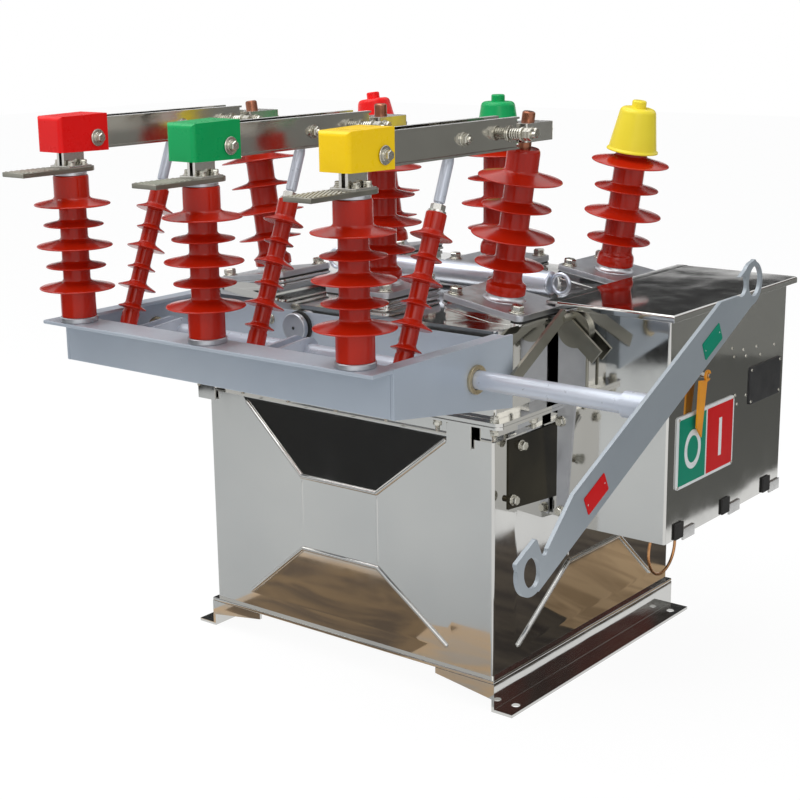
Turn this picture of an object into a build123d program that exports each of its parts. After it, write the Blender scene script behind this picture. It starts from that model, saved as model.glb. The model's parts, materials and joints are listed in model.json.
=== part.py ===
from build123d import *
import os
from math import cos, radians, sin

os.makedirs("parts", exist_ok=True)

# Outdoor three-pole circuit breaker in a stainless tank, with a ganged side disconnector.
# Millimetres, +Z up, -Y to the disconnector, +X to the operating mechanism.
# Origin: centre of the four foundation bolt holes, on the underside of the rails.

# Poles
phases = (("red", -1), ("green", 0), ("yellow", 1))
phase_pitch = 280

# Base rails and base plate
rail_outer_x = 307
rail_length = 570
rail_height = 47
rail_wall = 5
rail_foot = 34
foot_hole_x = 325
foot_hole_y = 250
foot_hole_dia = 14
gusset_length = 110
gusset_tall = 26
gusset_tip = 10
base_plate_wall = 6

# Tank: skin with pressed walls, and the shoulder under its flange
tank_half_x = 300
tank_half_y = 278
tank_corner = 5
tank_bottom = rail_height + base_plate_wall
skin_top = 436
shoulder_inset = 8
press_depth = 12
press_inner = (160, 127)
press_outer = (432, 350)
press_centre_z = 257
bead_radius = 4
bead_end_radius = 4.4
bead_share = 0.95
flange_bottom = 463
flange_wall = 5.5
flange_half_x = 326
flange_half_y = 299
flange_corner = 12
tab_x = ((216, 262), (-322, -282))
tab_front = -284
tab_wall = 3
tab_bottom = 420

# Tank cover
cover_half_x = 306
cover_half_y = 282
cover_floor = flange_bottom + flange_wall
roof_bottom = 600
roof_top = 611
roof_lip = 5
roof_corner = 10

# Bushings: the outer poles lean outwards
lean_angle = 8.5
bushing_y = 165
bushing_foot_x = 242
bushing_foot_z = 636
bushing_plate = (134, 150, 10)
bushing_plate_corner = 12
bushing_neck = (120, 136, 44)
neck_collar = (130, 146, 5)
neck_collar_drop = 27
neck_collar_corner = 8
boss_radius = 31
boss_waist = 28
boss_height = 9
bulge_shoulder = 27
bulge_top = 31
bulge_neck = 24
bushing_core = 22
bushing_neck_radius = 25.5
bushing_tip_radius = 23.5
bushing_top = 236
stem_radius = 10
stem_top = 291
bushing_sheds = ((59, 54), (103, 65), (147, 54), (190, 65))

# Rain sheds: share of rise to reach, underside below and rim above the nominal height
shed_slope = 0.26
shed_under = 2
shed_rim = 0.5

# Rear terminal caps
cap_foot = 205
cap_height = 84
cap_shoulder = 72
cap_rim_radius = 43
cap_rim_height = 5
cap_shoulder_radius = 29
cap_shoulder_round = 9
cap_boss_radius = 12
cap_boss_round = 3
cap_wall = 3
cap_hole_height = 46
cap_hole_radius = 8
cap_slit = 3

# Disconnector frame
frame_half_x = 333
frame_wall = 6
frame_front = -559
frame_rear = -275
frame_top = 608
frame_bottom_front = 537
frame_bottom_rear = 496
post_flange_front = -603
post_flange_rear = -545
arm_lip = 20
rear_beam_y = -288
rear_beam_bottom = 500

# Disconnector posts and fixed contacts
post_y = -574
post_height = 228
post_core = 21
post_end_radius = 27
post_foot_radius = 29
post_cap_radius = 25
post_ring_height = 8
post_sheds = ((51, 58), (84, 46), (116, 58), (148, 46), (178, 58))
terminal_wall = 11
terminal_width = 48
terminal_front = -677
terminal_rear = -514
contact_half = 8
contact_y = (-602, -548)
contact_top = 906
contact_foot = (44, 62, 9)

# Linkage: hinge, shaft and both rod pins form an exact parallelogram
hinge_y = -235
hinge_z = 896
shaft_y = -370
shaft_z = 558
crank_reach = 115
pin_radius = 5
pin_clearance = 1

# Blades
blade_front = -600
blade_tail = -217
blade_height = 47
blade_gap_half = 14
blade_wall = 4
blade_lip = 5
blade_lip_wall = 3
blade_cover_y = (-612, -521)
blade_cover_half = 30
blade_cover_taper = 3
blade_cover_z = (870, 926)
blade_cover_wall = 4
blade_cover_round = 7
cover_bolt_y = -542
cover_bolt_z = 890
cover_bolt_radius = 4

# Hinge clamp on the front stems
clamp_half = 23
clamp_y = (-198, -126)
clamp_z = (880, 908)
clamp_round = 3
clamp_slit = 3
tongue_half = 8
tongue_height = 30

# Operating insulators between cranks and blades
rod_core = 13
rod_end_radius = 15
rod_tail_radius = 14
rod_stud_radius = 6
rod_stud_start = 8
rod_top_silicone = 105
rod_bottom_silicone = 325
rod_eye_radius = 12
rod_eye_half = 5
rod_nut_radius = 11
rod_nut_height = 9
rod_washer_radius = 8
rod_washer_height = 3
rod_shed_foot = 12
rod_sheds = ((134, 31), (166, 23), (199, 31), (232, 23), (264, 31), (297, 23))

# Operating shaft and handle
shaft_radius = 14
shaft_bore = 10
shaft_left = -352
sleeve_radius = 18.5
sleeve_start = 579
handle_face_x = 628
handle_wall = 6
handle_angle = 25.8
handle_half = 30
handle_round = 4
eye_centre = (298, 0)
eye_radius = 32
eye_tip = (318, 29)
eye_hole_centre = (305, -1)
eye_hole_size = (15, 26)
eye_hole_angle = 60
beak_centre = (269, 14)
beak_radius = 15
beak_shoulder = (207, 257)
hook_centre = (-328, 4)
hook_radius = 32
hook_hole_radius = 15
hook_prong = (-352, -302)
hook_prong_top = 35.5
throat_centre = (-295, 9)
throat_radius = 7
throat_shoulder = (-213, -290)
handle_plates = (("green", (163, -6)), ("red", (-171.5, -4)))
handle_plate_size = (53, 27)
handle_plate_wall = 1
handle_plate_round = 2
bearing_radius = 21.5
bearing_seat_radius = 18
bearing_bore = 14.6
bearing_flange = 5
bearing_tail = 3
crank_half = 10
crank_wall = 6
crank_hub_radius = 23
crank_eye_radius = 14

# Mechanism box
box_inner_x = 332
box_outer_x = 510
box_y = (-122, 276)
box_z = (273, 630)
box_round = 4
box_neck_y = (-119, 262)
box_neck_z = (282, 452)
lid_x = (314, 521)
lid_y = (-132, 290)
lid_z = (622, 633)
lid_wall = 2.5
lid_round = 4
latch_rows = (("front", -81), ("middle", 75), ("rear", 223))
latch_catch = (26, 26, 4)
latch_plate = (38, 18, 3)
latch_plate_drop = 6
latch_round = 2

# Side plate beside the mechanism neck
side_plate_x = 313
side_plate_wall = 4
side_plate_y = (-262, -126)
side_plate_top = 440
side_plate_feet = (330, 318)
side_plate_studs = ((-228, 425), (-250, 343))
side_stud_radius = 5

# Interlock in front of the mechanism box
cam_centre = (346, 592)
cam_radius = 29
cam_wall = 8
lever_centre = (360, 583)
lever_size = (86, 26)
lever_angle = -39.5
lever_gap = 4
lever_wall = 5
link_x = 341
link_centre = (-221, 582)
link_size = (156, 20)
link_angle = 29.4
link_wall = 5
link_pin = (343.5, 613)
link_pin_radius = 6
link_pin_reach = 36
lever_rod_x = 376
lever_rod_z = (505, 570)
lever_rod_radius = 2.5

# Pull ring: the top of the wire loop is inside the mechanism box
ring_centre = (480, -74.6, 249.6)
ring_radius = 41.7
ring_wire = 2.4

# Vent and lifting bar
vent_place = (-75, 575)
vent_neck_radius = 20
vent_neck = 8
vent_radius = 24
vent_wall = 10
vent_round = 2
lift_z = 633
lift_radius = 20
lift_half = 224
lift_round = 5
lift_foot_x = 150
lift_foot = 30
lift_foot_height = 10
lift_ring_centre = (240, 634)
lift_ring_radius = 16
lift_ring_wire = 3.5

# Indicator and plates on the mechanism box
pointer_y = -20
pointer_z = 522
pointer_hub = 9
pointer_hand = ((-27, -3), (-32, -76), (-15, -95), (-13, -77), (-2, -7))
pointer_x = (519, 522)
pointer_pin_radius = 4
pointer_pin_head = 3
pointer_clearance = 0.5
sign_y = (-95, 92)
sign_z = (353, 468)
name_y = (146, 260)
name_z = (439, 502)
plate_wall = 2.5
plate_corner = 6


def save(piece, label):
    piece.part.label = label
    export_step(piece.part, f"parts/{label}.step")


def profile_plane(origin, axis):
    # Local x is radial and local y runs along the axis
    axis = Vector(axis).normalized()
    radial = (Vector(1, 0, 0) - axis * axis.X).normalized()
    return Plane(origin=origin, x_dir=radial, z_dir=radial.cross(axis))


def cross_plane(origin, axis):
    # Local z runs along the axis
    axis = Vector(axis).normalized()
    radial = (Vector(1, 0, 0) - axis * axis.X).normalized()
    return Plane(origin=origin, x_dir=radial, z_dir=axis)


def shed_outline(core, sheds, foot_radius, head_radius):
    # Flat underside, thin rim and a sloping rain face for each shed
    points = []
    for count, (height, radius) in enumerate(sheds):
        below = foot_radius if count == 0 else core
        above = head_radius if count == len(sheds) - 1 else core
        points += [
            (below, height - shed_under),
            (radius, height - shed_under),
            (radius, height + shed_rim),
            (above, height + shed_slope * (radius - above)),
        ]
    return points


def phase_axis(side):
    return Vector(sin(radians(lean_angle)) * side, 0, cos(radians(lean_angle * side)))


# Base plate
with BuildPart() as base_plate:
    with BuildSketch(Plane.XY.offset(rail_height)):
        Rectangle(2 * rail_outer_x, rail_length)
    extrude(amount=base_plate_wall)
save(base_plate, "base_plate")

# Foundation rails: upright web, outward foot with round holes, gusset at each end
for rail_name, side in (("left", -1), ("right", 1)):
    with BuildPart() as rail:
        with BuildSketch(Plane.XZ.offset(-rail_length / 2)):
            with BuildLine():
                web_in = side * (rail_outer_x - rail_wall)
                web_out = side * rail_outer_x
                foot_out = side * (rail_outer_x + rail_foot)
                Polyline(
                    (web_in, 0),
                    (foot_out, 0),
                    (foot_out, rail_wall),
                    (web_out, rail_wall),
                    (web_out, rail_height),
                    (web_in, rail_height),
                    close=True,
                )
            make_face()
        extrude(amount=rail_length)
        for end in (-1, 1):
            gusset_y = end * (rail_length / 2 - rail_wall / 2)
            with BuildSketch(Plane.XZ.offset(-gusset_y)):
                with BuildLine():
                    web_in = side * (rail_outer_x - rail_wall)
                    tip = side * (rail_outer_x - rail_wall - gusset_length)
                    Polyline(
                        (web_in, rail_height),
                        (tip, rail_height),
                        (tip, rail_height - gusset_tip),
                        (web_in, rail_height - gusset_tall),
                        close=True,
                    )
                make_face()
            extrude(amount=rail_wall / 2, both=True)
        with Locations((side * foot_hole_x, -foot_hole_y, rail_wall), (side * foot_hole_x, foot_hole_y, rail_wall)):
            Hole(foot_hole_dia / 2, depth=2 * rail_wall)
    save(rail, f"base_rail_{rail_name}")

# Tank: each wall is pressed outwards to a shallow pyramid, with a bead along its creases
press_walls = (
    Plane(origin=(0, -tank_half_y, press_centre_z), x_dir=(1, 0, 0), z_dir=(0, -1, 0)),
    Plane(origin=(0, tank_half_y, press_centre_z), x_dir=(-1, 0, 0), z_dir=(0, 1, 0)),
    Plane(origin=(-tank_half_x, 0, press_centre_z), x_dir=(0, -1, 0), z_dir=(-1, 0, 0)),
    Plane(origin=(tank_half_x, 0, press_centre_z), x_dir=(0, 1, 0), z_dir=(1, 0, 0)),
)
bead_runs = []
bead_ends = []
for up in (-1, 1):
    inner_left = Vector(-press_inner[0] / 2, up * press_inner[1] / 2, press_depth)
    inner_right = Vector(press_inner[0] / 2, up * press_inner[1] / 2, press_depth)
    outer_left = Vector(-press_outer[0] / 2, up * press_outer[1] / 2, 0)
    outer_right = Vector(press_outer[0] / 2, up * press_outer[1] / 2, 0)
    end_left = inner_left + (outer_left - inner_left) * bead_share
    end_right = inner_right + (outer_right - inner_right) * bead_share
    bead_runs += [(inner_left, inner_right), (inner_left, end_left), (inner_right, end_right)]
    bead_ends += [end_left, end_right]
with BuildPart() as tank:
    with BuildSketch(Plane.XY.offset(tank_bottom)):
        RectangleRounded(2 * tank_half_x, 2 * tank_half_y, tank_corner)
    extrude(amount=skin_top - tank_bottom)
    with BuildSketch(Plane.XY.offset(skin_top)):
        Rectangle(2 * (tank_half_x - shoulder_inset), 2 * (tank_half_y - shoulder_inset))
    extrude(amount=flange_bottom - skin_top)
    for wall in press_walls:
        with BuildSketch(wall):
            Rectangle(*press_outer)
        with BuildSketch(wall.offset(press_depth)):
            Rectangle(*press_inner)
        loft()
    for wall in press_walls:
        for run_start, run_end in bead_runs:
            bead_start = wall.from_local_coords(run_start)
            bead_run = wall.from_local_coords(run_end) - bead_start
            with BuildSketch(Plane(origin=bead_start, z_dir=bead_run)):
                Circle(bead_radius)
            extrude(amount=bead_run.length)
        with Locations(*[wall.from_local_coords(bead_end) for bead_end in bead_ends]):
            Sphere(bead_end_radius)
save(tank, "tank")

# Tank flange with a hanging tab at each side of the front
with BuildPart() as tank_flange:
    with BuildSketch(Plane.XY.offset(flange_bottom)):
        RectangleRounded(2 * flange_half_x, 2 * flange_half_y, flange_corner)
    extrude(amount=flange_wall)
    for tab_left, tab_right in tab_x:
        with BuildSketch(Plane.XZ.offset(-tab_front)):
            with Locations(((tab_left + tab_right) / 2, (tab_bottom + flange_bottom) / 2)):
                Rectangle(abs(tab_right - tab_left), flange_bottom - tab_bottom)
        extrude(amount=-tab_wall)
save(tank_flange, "tank_flange")

# Cover: flange, walls, lipped roof and six raised seats
with BuildPart() as tank_cover:
    with BuildSketch(Plane.XY.offset(cover_floor)):
        RectangleRounded(2 * flange_half_x, 2 * flange_half_y, flange_corner)
    extrude(amount=flange_wall)
    with BuildSketch(Plane.XY.offset(cover_floor + flange_wall)):
        RectangleRounded(2 * cover_half_x, 2 * cover_half_y, tank_corner)
    extrude(amount=roof_bottom - cover_floor - flange_wall)
    with BuildSketch(Plane.XY.offset(roof_bottom)):
        RectangleRounded(2 * (cover_half_x + roof_lip), 2 * (cover_half_y + roof_lip), roof_corner)
    extrude(amount=roof_top - roof_bottom)
    for row in (-1, 1):
        for phase, side in phases:
            seat_axis = phase_axis(side)
            foot = Vector(side * bushing_foot_x, row * bushing_y, bushing_foot_z)
            with BuildSketch(cross_plane(foot - seat_axis * bushing_plate[2], seat_axis)):
                Rectangle(bushing_neck[0], bushing_neck[1])
            extrude(amount=-bushing_neck[2])
            with BuildSketch(cross_plane(foot - seat_axis * neck_collar_drop, seat_axis)):
                RectangleRounded(neck_collar[0], neck_collar[1], neck_collar_corner)
            extrude(amount=neck_collar[2])
save(tank_cover, "tank_cover")

# Bushings: plate, boss, shed body and copper stem, which reaches the crown of the cap at the rear
crown = cap_foot + cap_shoulder - cap_wall
bushing_points = [
    (0, 0),
    (boss_radius, 0),
    (boss_waist, boss_height),
    (boss_radius, boss_height),
    (boss_radius, bulge_shoulder),
    (bulge_neck, bulge_top),
]
bushing_points += shed_outline(bushing_core, bushing_sheds, bushing_core, bushing_neck_radius)
bushing_points += [(bushing_tip_radius, bushing_top), (stem_radius, bushing_top)]
for row_name, row, tip in (("front", -1, stem_top), ("rear", 1, crown)):
    for phase, side in phases:
        axis = phase_axis(side)
        foot = Vector(side * bushing_foot_x, row * bushing_y, bushing_foot_z)
        with BuildPart() as bushing:
            with BuildSketch(cross_plane(foot, axis)):
                RectangleRounded(bushing_plate[0], bushing_plate[1], bushing_plate_corner)
            extrude(amount=-bushing_plate[2])
            with BuildSketch(profile_plane(foot, axis)):
                with BuildLine():
                    Polyline(*bushing_points, (stem_radius, tip), (0, tip), close=True)
                make_face()
            revolve(axis=Axis(foot, axis))
        save(bushing, f"bushing_{row_name}_{phase}")

# Terminal caps: hollow moulded hoods with a slit up to a round hole
for phase, side in phases:
    axis = phase_axis(side)
    foot = Vector(side * bushing_foot_x, bushing_y, bushing_foot_z) + axis * cap_foot
    with BuildPart() as cap:
        with BuildSketch(profile_plane(foot, axis)) as hood:
            with BuildLine():
                Polyline(
                    (0, cap_shoulder - cap_wall),
                    (cap_shoulder_radius - 2 * cap_wall, cap_shoulder - cap_wall),
                    (cap_rim_radius - 2 * cap_wall, 0),
                    (cap_rim_radius, 0),
                    (cap_rim_radius, cap_rim_height - cap_wall),
                    (cap_rim_radius - cap_wall, cap_rim_height),
                    (cap_shoulder_radius, cap_shoulder),
                    (cap_boss_radius, cap_shoulder),
                    (cap_boss_radius, cap_height),
                    (0, cap_height),
                    close=True,
                )
            make_face()
            fillet(hood.vertices().sort_by_distance((cap_shoulder_radius, cap_shoulder))[0], cap_shoulder_round)
            fillet(hood.vertices().sort_by_distance((cap_boss_radius, cap_height))[0], cap_boss_round)
        revolve(axis=Axis(foot, axis))
        with BuildSketch(Plane(origin=foot, x_dir=(0, -1, 0), z_dir=axis.cross(Vector(0, 1, 0)))):
            with Locations((0, cap_hole_height)):
                Circle(cap_hole_radius)
            with Locations((0, cap_hole_height / 2)):
                Rectangle(cap_slit, cap_hole_height)
        extrude(amount=cap_rim_radius, mode=Mode.SUBTRACT)
    save(cap, f"terminal_cap_{phase}")

# Disconnector frame: arms that deepen towards the tank
for arm_name, side in (("left", -1), ("right", 1)):
    with BuildPart() as arm:
        with BuildSketch(Plane.YZ.offset(side * frame_half_x)):
            with BuildLine():
                Polyline(
                    (frame_front, frame_top),
                    (frame_rear, frame_top),
                    (frame_rear, frame_bottom_rear),
                    (frame_front, frame_bottom_front),
                    close=True,
                )
            make_face()
        extrude(amount=-side * frame_wall)
        lip_out = side * (frame_half_x - frame_wall)
        lip_in = side * (frame_half_x - frame_wall - arm_lip)
        with BuildSketch(Plane.XY.offset(frame_top)):
            with BuildLine():
                Polyline(
                    (lip_out, post_flange_rear),
                    (lip_out, rear_beam_y),
                    (lip_in, rear_beam_y),
                    (lip_in, post_flange_rear),
                    close=True,
                )
            make_face()
        extrude(amount=-frame_wall)
        with BuildSketch(Plane.YZ.offset(side * frame_half_x)):
            with Locations((shaft_y, shaft_z)):
                Circle(bearing_seat_radius)
        extrude(amount=-side * frame_wall, mode=Mode.SUBTRACT)
    save(arm, f"frame_arm_{arm_name}")

# Front beam: upright plate under a forward flange that carries the posts
with BuildPart() as front_beam:
    with BuildSketch(Plane.YZ):
        with BuildLine():
            Polyline(
                (post_flange_front, frame_top),
                (post_flange_rear, frame_top),
                (post_flange_rear, frame_top - frame_wall),
                (frame_front + frame_wall, frame_top - frame_wall),
                (frame_front + frame_wall, frame_bottom_front),
                (frame_front, frame_bottom_front),
                (frame_front, frame_top - frame_wall),
                (post_flange_front, frame_top - frame_wall),
                close=True,
            )
        make_face()
    extrude(amount=frame_half_x - frame_wall, both=True)
    with BuildSketch(Plane.XY.offset(frame_top)):
        with Locations((0, (post_flange_front + frame_front) / 2)):
            Rectangle(2 * frame_half_x, frame_front - post_flange_front)
    extrude(amount=-frame_wall)
save(front_beam, "frame_front_beam")

# Rear beam against the cover
with BuildPart() as rear_beam:
    with BuildSketch(Plane.XZ.offset(-rear_beam_y)):
        with Locations((0, (roof_bottom + rear_beam_bottom) / 2)):
            Rectangle(2 * (frame_half_x - frame_wall), roof_bottom - rear_beam_bottom)
    extrude(amount=rear_beam_y + cover_half_y)
save(rear_beam, "frame_rear_beam")

# Shaft bearings in the arms
for arm_name, side in (("left", -1), ("right", 1)):
    with BuildPart() as bearing:
        face = Plane(origin=(side * frame_half_x, shaft_y, shaft_z), x_dir=(0, side, 0), z_dir=(side, 0, 0))
        with BuildSketch(face):
            Circle(bearing_radius)
        extrude(amount=bearing_flange)
        with BuildSketch(face):
            Circle(bearing_seat_radius)
        extrude(amount=-frame_wall - bearing_tail)
        with BuildSketch(face.offset(bearing_flange)):
            Circle(bearing_bore)
        extrude(amount=-frame_wall - bearing_tail - bearing_flange, mode=Mode.SUBTRACT)
    save(bearing, f"shaft_bearing_{arm_name}")

# Posts with a metal ring at the foot and a metal cap
post_points = [
    (0, 0),
    (post_foot_radius, 0),
    (post_foot_radius, post_ring_height),
    (post_end_radius, post_ring_height),
]
post_points += shed_outline(post_core, post_sheds, post_end_radius, post_end_radius)
post_points += [
    (post_end_radius, post_height - post_ring_height),
    (post_cap_radius, post_height - post_ring_height),
    (post_cap_radius, post_height),
    (0, post_height),
]
for phase, side in phases:
    foot = Vector(side * phase_pitch, post_y, frame_top)
    with BuildPart() as post:
        with BuildSketch(profile_plane(foot, (0, 0, 1))):
            with BuildLine():
                Polyline(*post_points, close=True)
            make_face()
        revolve(axis=Axis(foot, (0, 0, 1)))
    save(post, f"post_{phase}")

# Fixed contacts: terminal bar with a round end and a standing jaw
post_top = frame_top + post_height
for phase, side in phases:
    pole_x = side * phase_pitch
    with BuildPart() as terminal:
        bar_end = terminal_rear - terminal_width / 2
        with BuildSketch(Plane.XY.offset(post_top)):
            with Locations((pole_x, (terminal_front + bar_end) / 2)):
                Rectangle(terminal_width, bar_end - terminal_front)
            with Locations((pole_x, bar_end)):
                Circle(terminal_width / 2)
        extrude(amount=terminal_wall)
        jaw_y = sum(contact_y) / 2
        with BuildSketch(Plane.XY.offset(post_top + terminal_wall)):
            with Locations((pole_x, jaw_y)):
                Rectangle(contact_foot[0], contact_foot[1])
        extrude(amount=contact_foot[2])
        with BuildSketch(Plane.XY.offset(post_top + terminal_wall)):
            with Locations((pole_x, jaw_y)):
                Rectangle(2 * contact_half, contact_y[1] - contact_y[0])
        extrude(amount=contact_top - post_top - terminal_wall)
    save(terminal, f"fixed_contact_{phase}")

# Hinge clamps: split block on the stem with a forward hinge tongue
for phase, side in phases:
    pole_x = side * phase_pitch
    axis = phase_axis(side)
    foot = Vector(side * bushing_foot_x, -bushing_y, bushing_foot_z)
    with BuildPart() as clamp:
        with BuildSketch(Plane.XY.offset(clamp_z[0])):
            with Locations((pole_x, sum(clamp_y) / 2)):
                RectangleRounded(2 * clamp_half, clamp_y[1] - clamp_y[0], clamp_round)
        extrude(amount=clamp_z[1] - clamp_z[0])
        with BuildSketch(Plane.YZ.offset(pole_x)):
            with Locations((hinge_y, hinge_z)):
                Circle(tongue_height / 2)
            with Locations(((hinge_y + clamp_y[0]) / 2, hinge_z)):
                Rectangle(clamp_y[0] - hinge_y, tongue_height)
        extrude(amount=tongue_half, both=True)
        with BuildSketch(Plane.YZ.offset(pole_x)):
            with Locations((hinge_y, hinge_z)):
                Circle(pin_radius + pin_clearance)
        extrude(amount=tongue_half, both=True, mode=Mode.SUBTRACT)
        with BuildSketch(cross_plane(foot, axis)):
            Circle(stem_radius)
        extrude(amount=2 * stem_top, mode=Mode.SUBTRACT)
        with BuildSketch(Plane.XY.offset(clamp_z[0])):
            with Locations((pole_x, (clamp_y[1] - bushing_y) / 2)):
                Rectangle(clamp_slit, clamp_y[1] + bushing_y)
        extrude(amount=clamp_z[1] - clamp_z[0], mode=Mode.SUBTRACT)
    save(clamp, f"hinge_clamp_{phase}")

# Mechanism box with the pointer pin and a neck that is fitted to the pressed wall of the tank
with BuildPart() as mechanism_box:
    with BuildSketch(Plane.XY.offset(box_z[0])):
        with Locations(((box_inner_x + box_outer_x) / 2, sum(box_y) / 2)):
            RectangleRounded(box_outer_x - box_inner_x, box_y[1] - box_y[0], box_round)
    extrude(amount=box_z[1] - box_z[0])
    with BuildSketch(Plane.YZ.offset(tank_half_x)):
        with Locations((sum(box_neck_y) / 2, sum(box_neck_z) / 2)):
            Rectangle(box_neck_y[1] - box_neck_y[0], box_neck_z[1] - box_neck_z[0])
    extrude(amount=box_inner_x - tank_half_x)
    add(tank.part, mode=Mode.SUBTRACT)
    with BuildSketch(Plane.YZ.offset(box_outer_x)):
        with Locations((pointer_y, pointer_z)):
            Circle(pointer_pin_radius)
    extrude(amount=pointer_x[1] + pointer_pin_head - box_outer_x)
save(mechanism_box, "mechanism_box")

# Lid of the mechanism box: a folded tray that hangs over the walls
with BuildPart() as mechanism_lid:
    with BuildSketch(Plane.XY.offset(lid_z[0])):
        with Locations((sum(lid_x) / 2, sum(lid_y) / 2)):
            Rectangle(lid_x[1] - lid_x[0], lid_y[1] - lid_y[0])
    extrude(amount=lid_z[1] - lid_z[0])
    fillet(mechanism_lid.edges().group_by(Axis.Z)[-1], radius=lid_round)
    with BuildSketch(Plane.XY.offset(lid_z[0])):
        with Locations((sum(lid_x) / 2, sum(lid_y) / 2)):
            Rectangle(lid_x[1] - lid_x[0] - 2 * lid_wall, lid_y[1] - lid_y[0] - 2 * lid_wall)
    extrude(amount=box_z[1] - lid_z[0], mode=Mode.SUBTRACT)
save(mechanism_lid, "mechanism_lid")

# Door latches along the foot of the mechanism box: a raised catch beside a folded plate
for latch_name, latch_y in latch_rows:
    plate_y = latch_y + (latch_catch[0] + latch_plate[0]) / 2
    with BuildPart() as latch:
        with BuildSketch(Plane.YZ.offset(box_outer_x)):
            with Locations((latch_y, box_z[0] + latch_catch[1] / 2)):
                RectangleRounded(latch_catch[0], latch_catch[1], latch_round)
        extrude(amount=latch_catch[2])
        with BuildSketch(Plane.YZ.offset(box_outer_x)):
            with Locations((plate_y, box_z[0] - latch_plate_drop + latch_plate[1] / 2)):
                Rectangle(latch_plate[0], latch_plate[1])
        extrude(amount=latch_plate[2])
    save(latch, f"box_latch_{latch_name}")

# Side plate on two studs beside the mechanism neck
with BuildPart() as side_plate:
    with BuildSketch(Plane.YZ.offset(side_plate_x)):
        with BuildLine():
            Polyline(
                (side_plate_y[0], side_plate_top),
                (side_plate_y[1], side_plate_top),
                (side_plate_y[1], side_plate_feet[1]),
                (side_plate_y[0], side_plate_feet[0]),
                close=True,
            )
        make_face()
    extrude(amount=side_plate_wall)
    with BuildSketch(Plane.YZ.offset(tank_half_x)):
        with Locations(*side_plate_studs):
            Circle(side_stud_radius)
    extrude(amount=side_plate_x - tank_half_x)
save(side_plate, "side_plate")

# Interlock in front of the mechanism box: cam, lever with its hanging rod, and slanting link
with BuildPart() as interlock:
    with BuildSketch(Plane.XZ.offset(-box_y[0])):
        with Locations(cam_centre):
            Circle(cam_radius)
    extrude(amount=cam_wall)
    lever_back = cam_wall + lever_gap
    with BuildSketch(Plane.XZ.offset(-box_y[0] + lever_back)):
        with Locations(lever_centre):
            Rectangle(*lever_size, rotation=lever_angle)
    extrude(amount=lever_wall)
    with BuildSketch(Plane.XZ.offset(-box_y[0])):
        with Locations(link_pin):
            Circle(link_pin_radius)
    extrude(amount=link_pin_reach)
    with BuildSketch(Plane.YZ.offset(link_x)):
        with Locations(link_centre):
            Rectangle(*link_size, rotation=link_angle)
    extrude(amount=link_wall)
    with BuildSketch(Plane.XY.offset(lever_rod_z[0])):
        with Locations((lever_rod_x, box_y[0] - lever_back - lever_wall / 2)):
            Circle(lever_rod_radius)
    extrude(amount=lever_rod_z[1] - lever_rod_z[0])
save(interlock, "interlock")

# Sign plate and name plate
for plate_name, span_y, span_z in (("sign_plate", sign_y, sign_z), ("name_plate", name_y, name_z)):
    with BuildPart() as plate:
        with BuildSketch(Plane.YZ.offset(box_outer_x)):
            with Locations((sum(span_y) / 2, sum(span_z) / 2)):
                RectangleRounded(span_y[1] - span_y[0], span_z[1] - span_z[0], plate_corner)
        extrude(amount=plate_wall)
    save(plate, plate_name)

# Pull ring: wire loop that comes out of the floor of the mechanism box
with BuildPart() as pull_ring:
    with Locations(ring_centre):
        Torus(ring_radius, ring_wire, rotation=(0, 90, 0))
    split(bisect_by=Plane.XY.offset(box_z[0]), keep=Keep.BOTTOM)
save(pull_ring, "pull_ring")

# Vent on the rear beam: disc on a narrower neck
with BuildPart() as vent:
    with BuildSketch(Plane.XZ.offset(-rear_beam_y)):
        with Locations(vent_place):
            Circle(vent_neck_radius)
    extrude(amount=vent_neck)
    with BuildSketch(Plane.XZ.offset(-rear_beam_y + vent_neck)):
        with Locations(vent_place):
            Circle(vent_radius)
    extrude(amount=vent_wall)
    fillet(vent.edges().group_by(Axis.Y)[0], radius=vent_round)
save(vent, "vent_cap")

# Lifting bar across the roof with a ring at each end
with BuildPart() as lifting_bar:
    with BuildSketch(Plane.YZ):
        with Locations((0, lift_z)):
            Circle(lift_radius)
    extrude(amount=lift_half, both=True)
    fillet(lifting_bar.edges().filter_by(GeomType.CIRCLE), radius=lift_round)
    with BuildSketch(Plane.XY.offset(roof_top)):
        with Locations((-lift_foot_x, 0), (lift_foot_x, 0)):
            Rectangle(lift_foot, lift_foot)
    extrude(amount=lift_foot_height)
    for side in (-1, 1):
        with Locations((side * lift_ring_centre[0], 0, lift_ring_centre[1])):
            Torus(lift_ring_radius, lift_ring_wire, rotation=(90, 0, 0))
save(lifting_bar, "lifting_bar")

# Operating shaft: tube, sleeve and one pair of crank cheeks for each pole
crank_end_y = shaft_y - crank_reach
with BuildPart() as shaft:
    with BuildSketch(Plane.YZ.offset(shaft_left)):
        with Locations((shaft_y, shaft_z)):
            Circle(shaft_radius)
            Circle(shaft_bore, mode=Mode.SUBTRACT)
    extrude(amount=handle_face_x - handle_wall - shaft_left)
    with BuildSketch(Plane.YZ.offset(sleeve_start)):
        with Locations((shaft_y, shaft_z)):
            Circle(sleeve_radius)
            Circle(shaft_bore, mode=Mode.SUBTRACT)
    extrude(amount=handle_face_x - handle_wall - sleeve_start)
    for phase, side in phases:
        for cheek in (-crank_half - crank_wall, crank_half):
            with BuildSketch(Plane.YZ.offset(side * phase_pitch + cheek)):
                with Locations((shaft_y, shaft_z)):
                    Circle(crank_hub_radius)
                with Locations((crank_end_y, shaft_z)):
                    Circle(crank_eye_radius)
                make_hull()
                with Locations((shaft_y, shaft_z)):
                    Circle(shaft_bore, mode=Mode.SUBTRACT)
            extrude(amount=crank_wall)
        with BuildSketch(Plane.YZ.offset(side * phase_pitch)):
            with Locations((crank_end_y, shaft_z)):
                Circle(pin_radius)
        extrude(amount=crank_half + crank_wall, both=True)
save(shaft, "operating_shaft")

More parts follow.
